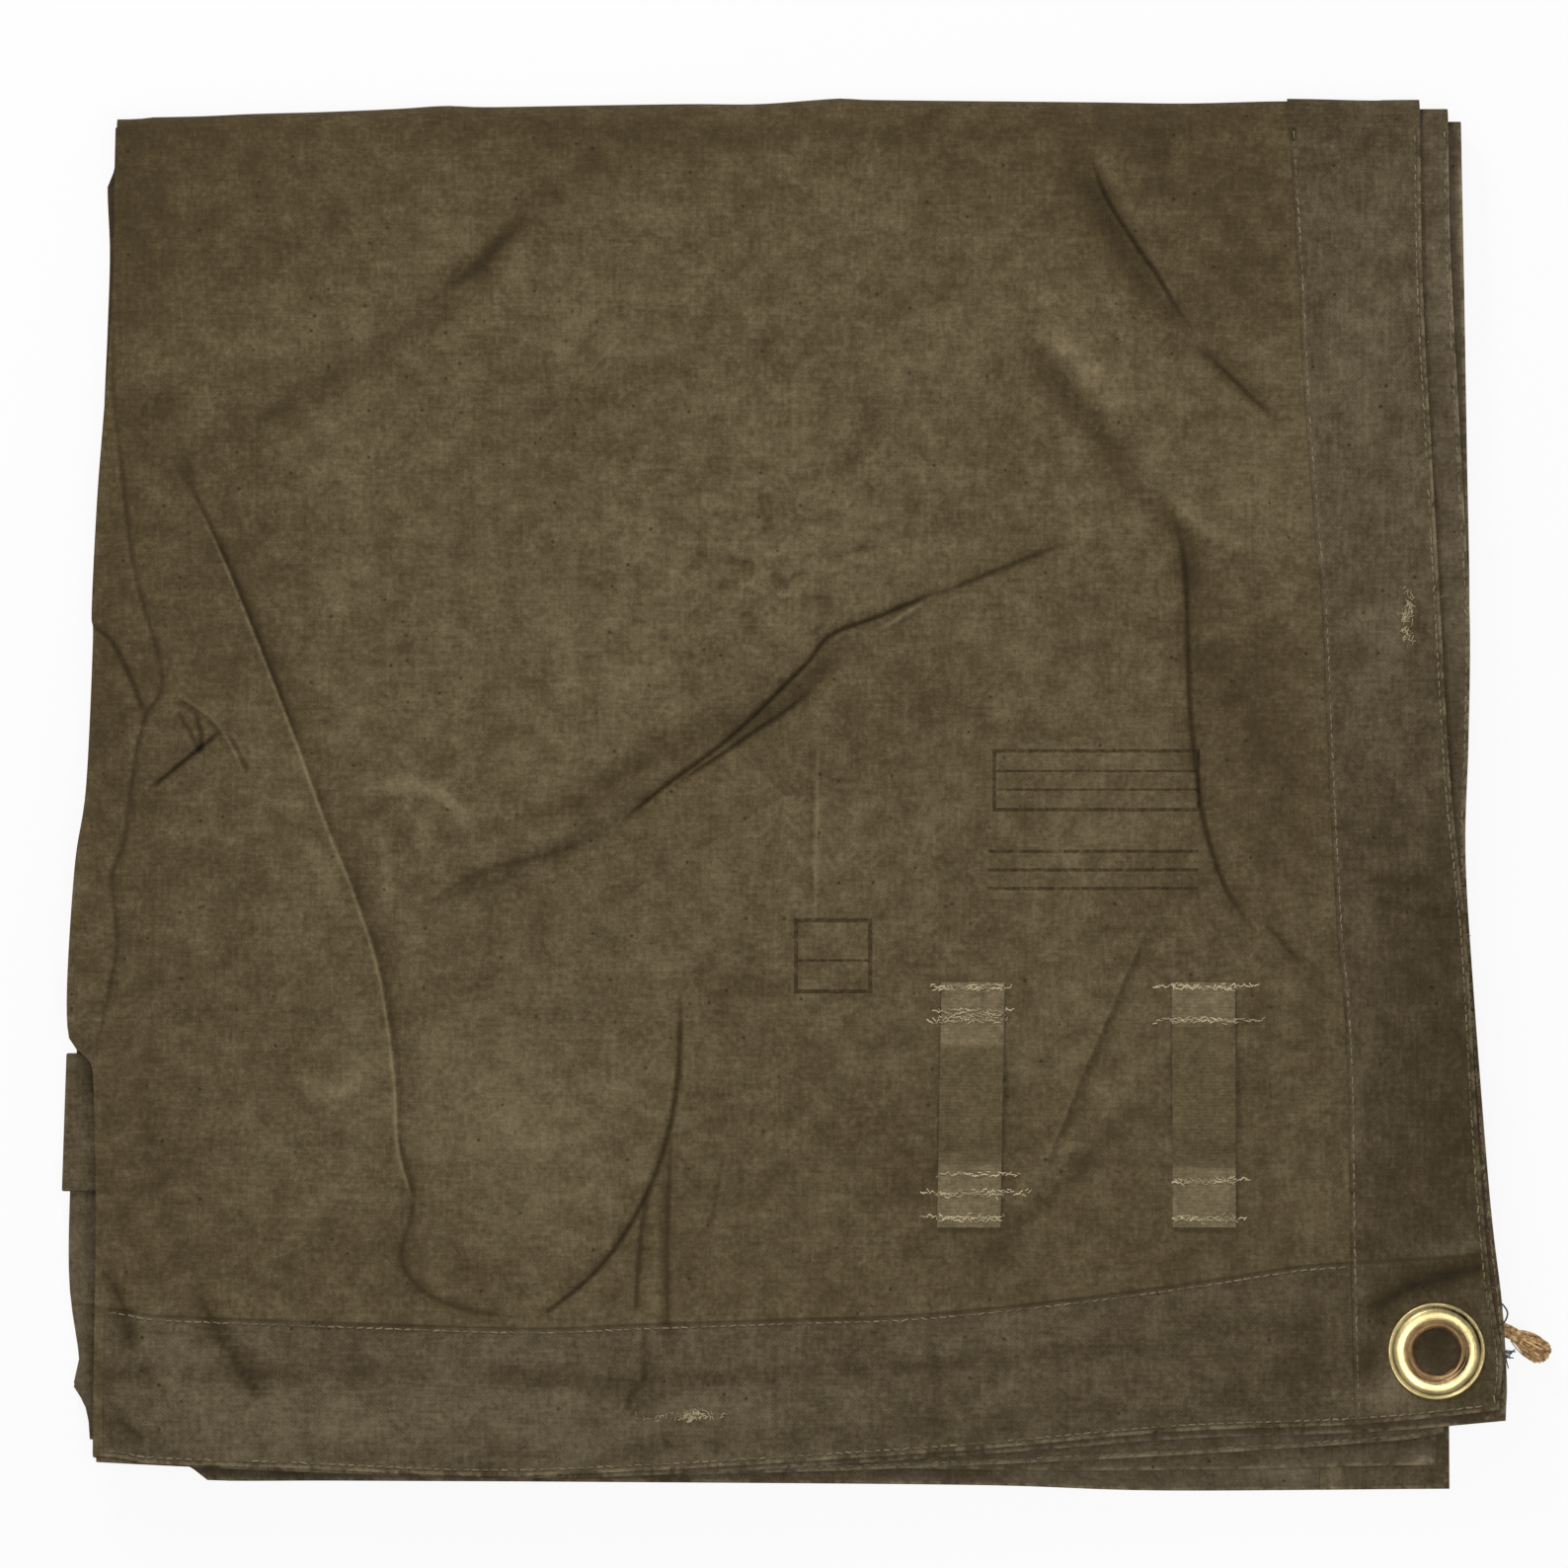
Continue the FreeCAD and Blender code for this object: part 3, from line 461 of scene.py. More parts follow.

# Lighter and darker patches. Most are the cloth's own uneven tone; some are painted shade, such as the dark
# band along the top fold, and some painted light, such as the lightened strips of the lower leaves along the
# bottom and the left.
PATCHES = tuple(Patch(*row) for row in (
    ((0, 60), (160, 120), 0.065), ((-215, 205), (110, 60), -0.26), ((-30, 218), (260, 12), -0.26),
    ((130, 200), (60, 30), -0.20), ((-216, 60), (16, 160), -0.24), ((-180, 104), (26, 40), -0.16),
    ((-90, -106), (50, 26), 0.22), ((-60, 125), (34, 15), -0.14, -30), ((190, 150), (60, 90), 0.22),
    ((210, -100), (26, 80), -0.26), ((155, 26), (18, 50), -0.24, 15), ((60, -120), (60, 20), -0.10),
    ((196, 52), (7, 12), 0.3, -20), ((186, 57), (8, 4), 0.32, 30), ((192, -193), (16, 9), 0.28),
    ((198, -188), (6, 10), 0.2), ((-60, -196), (150, 26), 0.20), ((-150, -187), (80, 3.5), -0.26),
    ((-40, -189), (70, 3), -0.22, 2), ((70, -182), (60, 3), -0.2, 5), ((40, -204), (90, 4), -0.1, 5),
    ((190, -184), (6, 8), -0.35), ((168, -184), (7, 12), -0.2), ((-60, -60), (60, 40), 0.05),
    ((-190, -150), (30, 20), -0.12), ((120, -221), (130, 7), 0.30), ((-75, 212), (28, 14), -0.12),
    ((105, 214), (24, 12), -0.12), ((-125, 148), (24, 14), 0.10), ((-60, 150), (20, 14), 0.08),
    ((60, 152), (16, 16), 0.08), ((150, 172), (22, 44), -0.24), ((212, 130), (14, 40), -0.10),
    ((-180, 45), (16, 24), -0.07), ((-180, -30), (14, 16), -0.10), ((40, 32), (26, 12), -0.15, 30),
    ((60, -30), (22, 16), -0.08), ((120, -30), (20, 14), -0.08), ((-120, -90), (26, 18), 0.08),
    ((50, -150), (40, 10), -0.08), ((140, -150), (40, 10), -0.07), ((150, -180), (26, 14), -0.10),
    ((160, -212), (70, 6), 0.15), ((-150, -152), (60, 9), -0.08), ((-150, -200), (70, 16), 0.12),
    ((178, -221), (2.4, 7), 0.5), ((163, -220), (8, 4), 0.45), ((209, -209), (7, 5), 0.2),
    ((206, -217), (3, 4), 0.4), ((-201, -180), (9, 20), 0.12, 12), ((-229, -150), (4.5, 50), 0.28),
    ((-120, 150), (20, 12), 0.06), ((100, -208), (16, 6), -0.1), ((186, 100), (24, 60), -0.06),
    ((-165, 150), (50, 14), 0.09), ((-185, 122), (12, 10), 0.10), ((150, 213), (20, 8), 0.22),
    ((90, 118), (12, 9), 0.12, -40), ((-195, -184), (26, 12), 0.08), ((-60, 152), (24, 12), 0.06),
    ((-80, -140), (40, 14), 0.06), ((110, -90), (30, 20), 0.05), ((-150, 210), (20, 12), 0.18),
    ((-120, 180), (22, 12), 0.12), ((-211, 135), (9, 28), 0.16), ((-182, 120), (12, 9), 0.08),
    ((-30, 120), (22, 11), 0.10), ((92, 96), (16, 14), 0.10), ((-60, 92), (18, 13), 0.12),
    ((-150, 62), (13, 12), 0.12), ((-211, -25), (8, 16), 0.14), ((-30, -90), (14, 12), 0.10),
    ((-60, -124), (18, 12), 0.08), ((90, -120), (12, 11), 0.10), ((165, -75), (16, 20), -0.10),
    ((181, -182), (9, 12), -0.08), ((212, -147), (12, 7), 0.14), ((180, 60), (9, 16), -0.12),
    ((214, 115), (6, 46), -0.10), ((217, 55.5), (7, 1.8), 0.35), ((214, -110), (7, 60), -0.12),
    ((187, -100), (6, 50), 0.08),
))

CRUMPLED = (Patch((2, 82), (60, 30), 1.0, 20), Patch((-30, 45), (50, 14), 0.5, 35),
            Patch((-118, -14), (18, 22), 0.6))


@dataclass(frozen=True)
class TopRelief:
    """The height of the packet's top leaf over its flat solid. Lengths are in millimetres."""

    lift: float = 0.55
    undulation: float = 1.3
    calm_radius: float = 17.0
    calm_reach: float = 14.0
    top_reach: float = 13.0
    fold_reach: float = 7.0
    edge_reach: float = 12.0
    edge_share: float = 0.15
    seam_depth: float = 0.3
    seam_width: float = 2.2
    sharp_width: float = 1.8
    soft_width: float = 3.3
    soft_reach: float = 4.0
    faint: float = 0.03
    broad_scale: float = 9.0
    fine_scale: tuple[float, float] = (34.0, 26.0)
    fine_share: float = 0.13
    broad_seed: float = 4.7
    fine_seed: float = 11.7

    def calm(self, plan: np.ndarray) -> np.ndarray:
        """From 0 where the cloth is held flat to 1 where it lies free."""
        x, y = plan.T
        eyelet = np.hypot(x - EYELET.x, y - EYELET.y) / MM
        free = smooth_step(TOP_FOLD_Y - y / MM, 0, self.top_reach)
        free *= smooth_step((x - UPPER_FOLD.x_at(y)) / MM, 0, self.fold_reach)
        for inside in (MOUTH_EDGE.x_at(y) - x, y - SIDE_EDGE.y_at(x)):
            free *= self.edge_share + (1 - self.edge_share) * smooth_step(inside / MM, -1, self.edge_reach)
        return free * smooth_step(eyelet, self.calm_radius, self.calm_radius + self.calm_reach)

    def waves(self, plan: np.ndarray) -> np.ndarray:
        """Broad uneven waves, from 0 to about 1."""
        heights = []
        for x, y in plan:
            broad = noise.noise(Vector((x * self.broad_scale, y * self.broad_scale, self.broad_seed)))
            fine = noise.noise(Vector((x * self.fine_scale[0], y * self.fine_scale[1], self.fine_seed)))
            heights.append(0.5 + 0.5 * broad + self.fine_share * fine)
        return np.clip(np.array(heights), 0, None)

    def height(self, plan: np.ndarray) -> np.ndarray:
        """The relief at points of the plan, in metres, never below the flat solid."""
        total = self.lift + self.undulation * self.waves(plan)
        for crease in CREASES:
            total = total + crease.relief(plan)
        x, y = plan.T
        for gap in (x - MOUTH_SEAM.x_at(y), y - SIDE_SEAM.y_at(x)):
            total = total - self.seam_depth * bell(gap / MM, self.seam_width)
        return np.maximum(total, 0) * self.calm(plan) * MM

    def near_crease(self, plan: np.ndarray, reach: float) -> np.ndarray:
        """Which points lie near a crease that needs fine faces.

        Args:
            plan: points, one per row, in metres.
            reach: how near, in millimetres. Softer creases count too when it is wide.

        Returns:
            True for each point that does.
        """
        close = np.zeros(len(plan), bool)
        for crease in CREASES:
            gap, strength = crease.measure(plan)
            sharp = crease.mark != 0.0 or crease.width < self.sharp_width
            if sharp or (reach > self.soft_reach and crease.width < self.soft_width):
                close |= (np.abs(gap) < reach) & (strength > self.faint)
        return close


RELIEF = TopRelief()


def tone_of(plan: np.ndarray) -> np.ndarray:
    """How much lighter or darker the cloth of the top leaf is: its own uneven tone, with some painted shade
    and painted light.
    """
    return sum(patch.tone_at(plan) for patch in PATCHES)


def crease_wear_and_shading(plan: np.ndarray) -> np.ndarray:
    """Pale and dark lines along the creases of the top leaf: rubbed wear and soil, with painted highlights
    and painted shade.
    """
    return sum(crease.line_wear_and_shading(plan) for crease in CREASES)


def rim_of(plan: np.ndarray, right: Edge, low: Edge) -> np.ndarray:
    """How far points lie from the seams and from the cloth's edge.

    Args:
        plan: points, one per row, in metres.
        right: the cloth's edge at the right.
        low: its edge at the bottom.

    Returns:
        The distances beyond the mouth's seam, above the side's seam, and inside the cloth's edge.
    """
    x, y = plan.T
    inside = np.minimum(right.x_at(y) - x, y - low.y_at(x))
    return np.column_stack([x - MOUTH_SEAM.x_at(y), y - SIDE_SEAM.y_at(x), inside])


def painted_crevice_shade(plan: np.ndarray, right: Edge, low: Edge) -> np.ndarray:
    """Painted shade on a leaf along the edge of the leaf that lies over it, and under the eyelet's hole."""
    edge_shade, open_reach, covered_reach = 0.5, 1.3, 4.0
    hole_shade, hole_radius = 0.62, 9.5
    x, y = plan.T
    beyond = np.maximum(x - right.x_at(y), low.y_at(x) - y) / MM
    edge = np.where(beyond > 0, beyond / open_reach, -beyond / covered_reach)
    hole = np.hypot(x - EYELET.x, y - EYELET.y) / (hole_radius * MM)
    return -edge_shade * np.exp(-edge ** 1.2) - hole_shade * np.exp(-hole ** 4)


class Bench:
    """Blender's modelling tools, used on one object at a time."""

    @staticmethod
    def clear() -> None:
        """Deselects everything."""
        bpy.ops.object.select_all(action="DESELECT")
        bpy.context.view_layer.objects.active = None

    @staticmethod
    def pick(*objects: bpy.types.Object) -> None:
        """Selects objects and makes the first one active."""
        Bench.clear()
        for thing in objects:
            thing.select_set(True)
        bpy.context.view_layer.objects.active = objects[0]

    @staticmethod
    def take(name: str) -> bpy.types.Object:
        """Names the object that an operator has just made and sets its place in its mesh."""
        made = bpy.context.active_object
        made.name = name
        made.data.name = name
        bpy.ops.object.transform_apply(location=True, rotation=True, scale=True)
        return made

    @staticmethod
    def grid(name: str, columns: int, rows: int) -> tuple[bpy.types.Object, np.ndarray]:
        """A grid of faces.

        Args:
            name: the object's name.
            columns: faces across.
            rows: faces up.

        Returns:
            The object, and each vertex's shares of the way across and up.
        """
        Bench.clear()
        bpy.ops.mesh.primitive_grid_add(x_subdivisions=columns, y_subdivisions=rows, size=1)
        made = Bench.take(name)
        return made, Bench.places(made)[:, :2] + 0.5

    @staticmethod
    def places(thing: bpy.types.Object) -> np.ndarray:
        """The object's vertices, one per row."""
        flat = np.empty(len(thing.data.vertices) * 3)
        thing.data.vertices.foreach_get("co", flat)
        return flat.reshape(-1, 3)

    @staticmethod
    def move(thing: bpy.types.Object, places: np.ndarray) -> None:
        """Puts the object's vertices at new places."""
        thing.data.vertices.foreach_set("co", places.ravel())
        thing.data.update()

    @staticmethod
    def centres(thing: bpy.types.Object) -> np.ndarray:
        """The centres of the object's faces, one per row."""
        flat = np.empty(len(thing.data.polygons) * 3)
        thing.data.polygons.foreach_get("center", flat)
        return flat.reshape(-1, 3)

    @staticmethod
    def edit_faces(thing: bpy.types.Object, chosen: np.ndarray, work: Callable[[], object]) -> None:
        """Runs an edit-mode operator on chosen faces.

        Args:
            thing: the object.
            chosen: for each face, whether it is chosen.
            work: the operator.
        """
        Bench.pick(thing)
        bpy.ops.object.mode_set(mode="EDIT")
        bpy.ops.mesh.select_mode(type="FACE")
        bpy.ops.mesh.select_all(action="DESELECT")
        bpy.ops.object.mode_set(mode="OBJECT")
        thing.data.polygons.foreach_set("select", chosen)
        bpy.ops.object.mode_set(mode="EDIT")
        work()
        bpy.ops.object.mode_set(mode="OBJECT")

    @staticmethod
    def note(thing: bpy.types.Object, **notes: np.ndarray) -> None:
        """Stores named numbers or vectors on the vertices, for the finish to read."""
        for name, values in notes.items():
            kind, part = ("FLOAT", "value") if values.ndim == 1 else ("FLOAT_VECTOR", "vector")
            layer = thing.data.attributes.new(name, kind, "POINT")
            layer.data.foreach_set(part, values.astype(np.float32).ravel())

    @staticmethod
    def modify(thing: bpy.types.Object, kind: str, **settings: object) -> None:
        """Adds a modifier to an object and applies it."""
        Bench.pick(thing)
        modifier = thing.modifiers.new(kind.lower(), kind)
        for name, value in settings.items():
            setattr(modifier, name, value)
        bpy.ops.object.modifier_apply(modifier=modifier.name)

    @staticmethod
    def thicken(thing: bpy.types.Object, thickness: float) -> None:
        """Gives a surface its thickness, inwards, and closes it."""
        Bench.modify(thing, "SOLIDIFY", thickness=thickness, offset=-1)

    @staticmethod
    def smooth(thing: bpy.types.Object, degrees: float = 50) -> None:
        """Shades an object smooth, apart from its sharp edges."""
        Bench.pick(thing)
        bpy.ops.object.shade_smooth_by_angle(angle=math.radians(degrees))

    @staticmethod
    def join(name: str, pieces: Sequence[bpy.types.Object]) -> bpy.types.Object:
        """Joins pieces into one object."""
        Bench.pick(*pieces)
        if len(pieces) > 1:
            bpy.ops.object.join()
        return Bench.take(name)

    @staticmethod
    def copy(thing: bpy.types.Object, matrix: Matrix) -> bpy.types.Object:
        """A copy of an object with its own mesh, put in place."""
        twin = thing.copy()
        twin.data = thing.data.copy()
        twin.data.transform(matrix)
        bpy.context.collection.objects.link(twin)
        return twin


def dress(piece: bpy.types.Object, material: bpy.types.Material, body: str | None,
          node: str | None) -> bpy.types.Object:
    """Gives a piece its finish and its place in the frame.

    Args:
        piece: the piece.
        material: its finish.
        body: the body that it rides on, or None for a piece that rides on none.
        node: the CAD node that it stands for, or None for one that only the looks have.

    Returns:
        The piece.
    """
    piece.data.materials.clear()
    piece.data.materials.append(material)
    if body is not None:
        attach(piece, body)
    if node is not None:
        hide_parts(node)
    log.info("%s: %d faces", piece.name, len(piece.data.polygons))
    return piece


def srgb(red: float, green: float, blue: float) -> tuple[float, float, float, float]:
    """A colour given in 0 to 255, as the shader takes it."""
    parts = (value / 255 for value in (red, green, blue))
    return (*((p / 12.92 if p <= 0.04045 else ((p + 0.055) / 1.055) ** 2.4) for p in parts), 1.0)


class Wire:
    """A socket of a shader that can be used in Python arithmetic."""

    def __init__(self, shader: "Shader", socket: bpy.types.NodeSocket) -> None:
        """Keeps the shader and the socket."""
        self.shader = shader
        self.socket = socket

    def apply(self, operation: str, other: object = 0.0) -> "Wire":
        """A Math operation on this value and another."""
        return self.shader.wire("ShaderNodeMath", {"operation": operation}, {0: self, 1: other})

    def apply_to(self, operation: str, other: object) -> "Wire":
        """A Math operation on another value and this one."""
        return self.shader.wire("ShaderNodeMath", {"operation": operation}, {0: other, 1: self})

    __add__ = partialmethod(apply, "ADD")
    __sub__ = partialmethod(apply, "SUBTRACT")
    __mul__ = partialmethod(apply, "MULTIPLY")
    __lt__ = partialmethod(apply, "LESS_THAN")
    __gt__ = partialmethod(apply, "GREATER_THAN")
    __radd__ = partialmethod(apply_to, "ADD")
    __rsub__ = partialmethod(apply_to, "SUBTRACT")

    def rise(self, low: float, high: float) -> "Wire":
        """0 below low, 1 above high and smooth between."""
        inputs = {"Value": self, "From Min": low, "From Max": high}
        return self.shader.wire("ShaderNodeMapRange", {"interpolation_type": "SMOOTHSTEP"}, inputs)


class Shader:
    """A material's nodes."""

    def __init__(self, name: str, roughness: float = 0.9, metallic: float = 0.0) -> None:
        """Starts a material with one Principled shader."""
        self.material = bpy.data.materials.new(name)
        self.material.use_nodes = True
        self.tree = self.material.node_tree
        self.surface = self.tree.nodes["Principled BSDF"]
        self.feed(self.surface, "Roughness", roughness)
        self.feed(self.surface, "Metallic", metallic)

    def feed(self, node: bpy.types.Node, socket: str | int, value: object) -> None:
        """Links a wire to a socket or sets the socket's value."""
        if isinstance(value, Wire):
            self.tree.links.new(value.socket, node.inputs[socket])
        else:
            node.inputs[socket].default_value = value

    def node(self, kind: str, settings: dict[str, object],
             inputs: dict[str | int, object]) -> bpy.types.Node:
        """Any node.

        Args:
            kind: the node's type.
            settings: its own properties, set first.
            inputs: values or wires of its sockets.

        Returns:
            The node.
        """
        made = self.tree.nodes.new(kind)
        for name, value in settings.items():
            setattr(made, name, value)
        for socket, value in inputs.items():
            self.feed(made, socket, value)
        return made

    def wire(self, kind: str, settings: dict[str, object], inputs: dict[str | int, object],
             output: str | int = 0) -> Wire:
        """One output of a new node."""
        return Wire(self, self.node(kind, settings, inputs).outputs[output])

    def place(self) -> Wire:
        """The place on the object, in metres."""
        return self.wire("ShaderNodeTexCoord", {}, {}, "Object")

    def stored(self, name: str, output: str = "Fac") -> Wire:
        """A value that the mesh stores."""
        return self.wire("ShaderNodeAttribute", {"attribute_name": name}, {}, output)

    def axes(self, vector: Wire) -> tuple[Wire, Wire, Wire]:
        """A vector's three parts."""
        parts = self.node("ShaderNodeSeparateXYZ", {}, {0: vector})
        return tuple(Wire(self, parts.outputs[i]) for i in range(3))

    def stretched(self, vector: Wire, factors: tuple[float, float, float]) -> Wire:
        """A vector multiplied part by part."""
        return self.wire("ShaderNodeVectorMath", {"operation": "MULTIPLY"}, {0: vector, 1: factors})

    def matt(self) -> None:
        """Takes most of the surface's gloss away, as fits cloth."""
        self.feed(self.surface, "Specular IOR Level", CLOTH_GLOSS)

    def noise(self, vector: Wire, scale: float, detail: float = 2.0, roughness: float = 0.5) -> Wire:
        """Cloudy noise from 0 to 1."""
        inputs = {"Vector": vector, "Scale": scale, "Detail": detail, "Roughness": roughness}
        return self.wire("ShaderNodeTexNoise", {}, inputs)

    def mix(self, share: object, first: object, second: object) -> Wire:
        """A colour between two colours."""
        return self.wire("ShaderNodeMix", {"data_type": "RGBA"}, {0: share, 6: first, 7: second}, 2)

    def scaled(self, colour: object, factor: object) -> Wire:
        """A colour made lighter or darker."""
        return self.wire("ShaderNodeVectorMath", {"operation": "SCALE"}, {0: colour, "Scale": factor})

    def bump(self, height: Wire, distance: float, strength: float = 1.0) -> None:
        """Gives the surface a fine relief."""
        inputs = {"Height": height, "Distance": distance, "Strength": strength}
        self.feed(self.surface, "Normal", self.wire("ShaderNodeBump", {}, inputs))


class Weave(Enum):
    """How densely a cloth is woven: the distance between its threads, in metres."""

    CANVAS = 0.00062
    DUCK = 0.00070
    WEBBING = 0.00110


@dataclass(frozen=True)
class InkFrame:
    """A faded stamp with nothing written in it: a frame and ruled lines, in millimetres."""

    centre: tuple[float, float]
    half: tuple[float, float]
    rules: tuple[float, ...]
    line: float = 0.7
    framed: bool = True

    def mask(self, x: Wire, y: Wire) -> Wire:
        """1 where the stamp's lines are."""
        across = (x - self.centre[0] * MM).apply("ABSOLUTE") - self.half[0] * MM
        up = y - self.centre[1] * MM
        inside = across < 0.0
        ink = across * 0.0
        if self.framed:
            beyond = across.apply("MAXIMUM", up.apply("ABSOLUTE") - self.half[1] * MM)
            ink = beyond.apply("ABSOLUTE") < self.line * MM
        for rule in self.rules:
            ruled = (up - rule * MM).apply("ABSOLUTE") < 0.6 * self.line * MM
            ink = ink.apply("MAXIMUM", ruled * inside)
        return ink


@dataclass(frozen=True)
class CanvasFinish:
    """Proofed olive-brown cotton canvas, worn and a little soiled. Its tone also carries painted shade and
    painted light: along the creases, in the crevices between leaves, at the band's edge over the side seam,
    over wrinkles and in some patches.
    """

    name: str = "worn_canvas"
    soiled_and_shaded: tuple[float, float, float] = (88, 74, 49)
    faded: tuple[float, float, float] = (94, 83, 61)
    weave: Weave = Weave.CANVAS
    frames: tuple[InkFrame, ...] = ()
    across: float = 0.4
    cloud_scale: float = 15.0
    dapple_scale: float = 120.0
    grain_scale: float = 520.0
    speck_scale: float = 165.0
    cloud_tone: float = 0.8
    dapple_tone: float = 0.85
    grain_tone: float = 1.05
    thread_tone: float = 0.12
    speck_tone: float = 0.6
    ink_tone: float = 0.9
    rubbed_tone: float = 0.42
    mouth_tone: float = 0.12
    side_seam_shade: float = 0.3

    def threads(self, x: Wire, y: Wire, wander: Wire) -> Wire:
        """The weave's height, from 0 to 1."""
        turn = math.pi / self.weave.value
        warp = (x * turn + wander * 5.0).apply("SINE")
        weft = (y * turn + wander * 4.0).apply("SINE")
        return warp * weft * 0.5 + 0.5

    def wear_and_seam_shade(self, shader: Shader, dapple: Wire, grain: Wire) -> Wire:
        """How the cloth's rims are lightened by rubbing, the mouth's seam is lightened, and a line just above
        the side's seam is darkened with painted shade, the shadow of the band's edge.
        """
        from_mouth, from_side, inside = shader.axes(shader.stored("rim", "Vector"))
        rim = 1.0 - (inside - grain * 0.0008).rise(0.0002, 0.0010)
        mouth = 1.0 - from_mouth.apply("ABSOLUTE").rise(0.0004, 0.0013)
        # painted shadow of the band's edge, just above the side seam
        side = 1.0 - (from_side - 0.0013).apply("ABSOLUTE").rise(0.0002, 0.0010)
        pale = rim * dapple.rise(0.40, 0.56) * self.rubbed_tone + mouth * self.mouth_tone
        return pale - side * grain.rise(0.3, 0.6) * self.side_seam_shade

    def specks(self, shader: Shader, cloth: Wire) -> Wire:
        """Small dark specks, 1 in their middle."""
        cells = shader.node("ShaderNodeTexVoronoi", {}, {"Vector": cloth, "Scale": self.speck_scale})
        near = 1.0 - Wire(shader, cells.outputs["Distance"]).rise(0.05, 0.13)
        return near * (shader.axes(Wire(shader, cells.outputs["Color"]))[0] > 0.60)

    def material(self) -> bpy.types.Material:
        """Builds the material."""
        shader = Shader(self.name, roughness=0.92)
        shader.matt()
        cloth = shader.stored("cloth", "Vector")
        x, y, _ = shader.axes(cloth)
        clouds = shader.noise(cloth, self.cloud_scale, 3, 0.95)
        dapple = shader.noise(cloth, self.dapple_scale, 2, 1.0)
        grain = shader.noise(cloth, self.grain_scale, 2, 0.9)
        across = shader.noise(shader.stretched(cloth, (60, 900, 1)), 1, 3, 0.7)
        upward = shader.noise(shader.stretched(cloth, (900, 60, 1)), 1, 3, 0.7)
        threads = self.threads(x, y, dapple)
        crumple = shader.stored("crumple")
        rumples = 1.0 - (shader.noise(cloth, 62, 2, 0.6) - 0.5).apply("ABSOLUTE").rise(0.0, 0.16)
        # the stored tone and crease lines carry painted shade and painted light as well as wear and soil
        tone = shader.stored("tone") + shader.stored("mark")
        parts = ((clouds, self.cloud_tone), (dapple, self.dapple_tone), (grain, self.grain_tone),
                 (across, self.across), (upward, 0.4), (threads, self.thread_tone))
        for part, amount in parts:
            tone = tone + (part - 0.5) * amount
        # painted light and shade that follow the wrinkles which the bump raises in the crumpled patches
        tone = tone + crumple * (rumples - 0.4) * 0.22
        tone = tone + self.wear_and_seam_shade(shader, dapple, grain) - self.specks(shader, cloth) * self.speck_tone
        if self.frames:
            faded = shader.noise(cloth, 420, 4, 0.7).rise(0.40, 0.60) * 0.6 + 0.3
            first, *others = (stamp.mask(x, y) for stamp in self.frames)
            tone = tone - sum(others, first) * faded * self.ink_tone
        # low tone, from soil, random tone and painted shade alike, leans to the darker colour, and high tone,
        # painted light included, to the lighter one
        base = shader.mix(tone.rise(-0.42, 0.42), srgb(*self.soiled_and_shaded), srgb(*self.faded))
        shader.feed(shader.surface, "Base Color", shader.scaled(base, tone.apply("EXPONENT")))
        shader.feed(shader.surface, "Roughness", 0.86 + (dapple - 0.5) * 0.2)
        wrinkle = (shader.noise(cloth, 24, 2, 0.5) - 0.5).apply("ABSOLUTE").rise(0.0, 0.10)
        creased = (shader.noise(cloth, 55, 1, 0.5) - 0.5).apply("ABSOLUTE").rise(0.0, 0.10)
        height = wrinkle * 0.40 + creased * 0.14 + dapple * 0.35 + grain * 0.10 + crumple * rumples * 0.9
        height = height + threads * 0.07 + across * 0.12 + upward * 0.10
        shader.bump(height, MM)
        return shader.material


@dataclass(frozen=True)
class WebbingFinish:
    """Cotton webbing with fine ribs across it."""

    name: str = "keeper_webbing"
    colour: tuple[float, float, float] = (94, 82, 58)
    pale: tuple[float, float, float] = (117, 104, 79)

    def material(self) -> bpy.types.Material:
        """Builds the material."""
        shader = Shader(self.name, roughness=0.88)
        shader.matt()
        cloth = shader.stored("cloth", "Vector")
        x, y, _ = shader.axes(cloth)
        dapple = shader.noise(cloth, 160, 4, 0.65)
        fine = shader.noise(shader.stretched(cloth, (300, 1400, 1)), 1, 3, 0.6)
        ribs = (y * (2 * math.pi / Weave.WEBBING.value) + dapple * 2.0).apply("SINE") * 0.5 + 0.5
        cords = (x * (2 * math.pi / Weave.DUCK.value)).apply("SINE") * 0.5 + 0.5
        base = shader.mix(shader.stored("tone"), srgb(*self.colour), srgb(*self.pale))
        grain = shader.noise(cloth, 520, 2, 0.9)
        tone = (dapple - 0.5) * 1.1 + (fine - 0.5) * 0.5 + (grain - 0.5) * 1.4
        tone = tone + (ribs - 0.5) * 0.07 + (cords - 0.5) * 0.06
        shader.feed(shader.surface, "Base Color", shader.scaled(base, tone.apply("EXPONENT")))
        shader.bump(ribs * 0.05 + cords * 0.05 + fine * 0.15 + dapple * 0.35 + grain * 0.1, MM)
        return shader.material


@dataclass(frozen=True)
class ThreadFinish:
    """Waxed cotton thread, soiled unevenly."""

    name: str
    colour: tuple[float, float, float]
    dirt: tuple[float, float, float]

    def material(self) -> bpy.types.Material:
        """Builds the material."""
        shader = Shader(self.name, roughness=0.75)
        place = shader.place()
        dirt = shader.noise(place, 160, 3, 0.6).rise(0.38, 0.62)
        ply = shader.noise(place, 2400, 2, 0.6)
        base = shader.mix(dirt, srgb(*self.colour), srgb(*self.dirt))
        shader.feed(shader.surface, "Base Color", shader.scaled(base, ply * 0.5 + 0.75))
        shader.bump(ply, 0.00012, 0.6)
        return shader.material


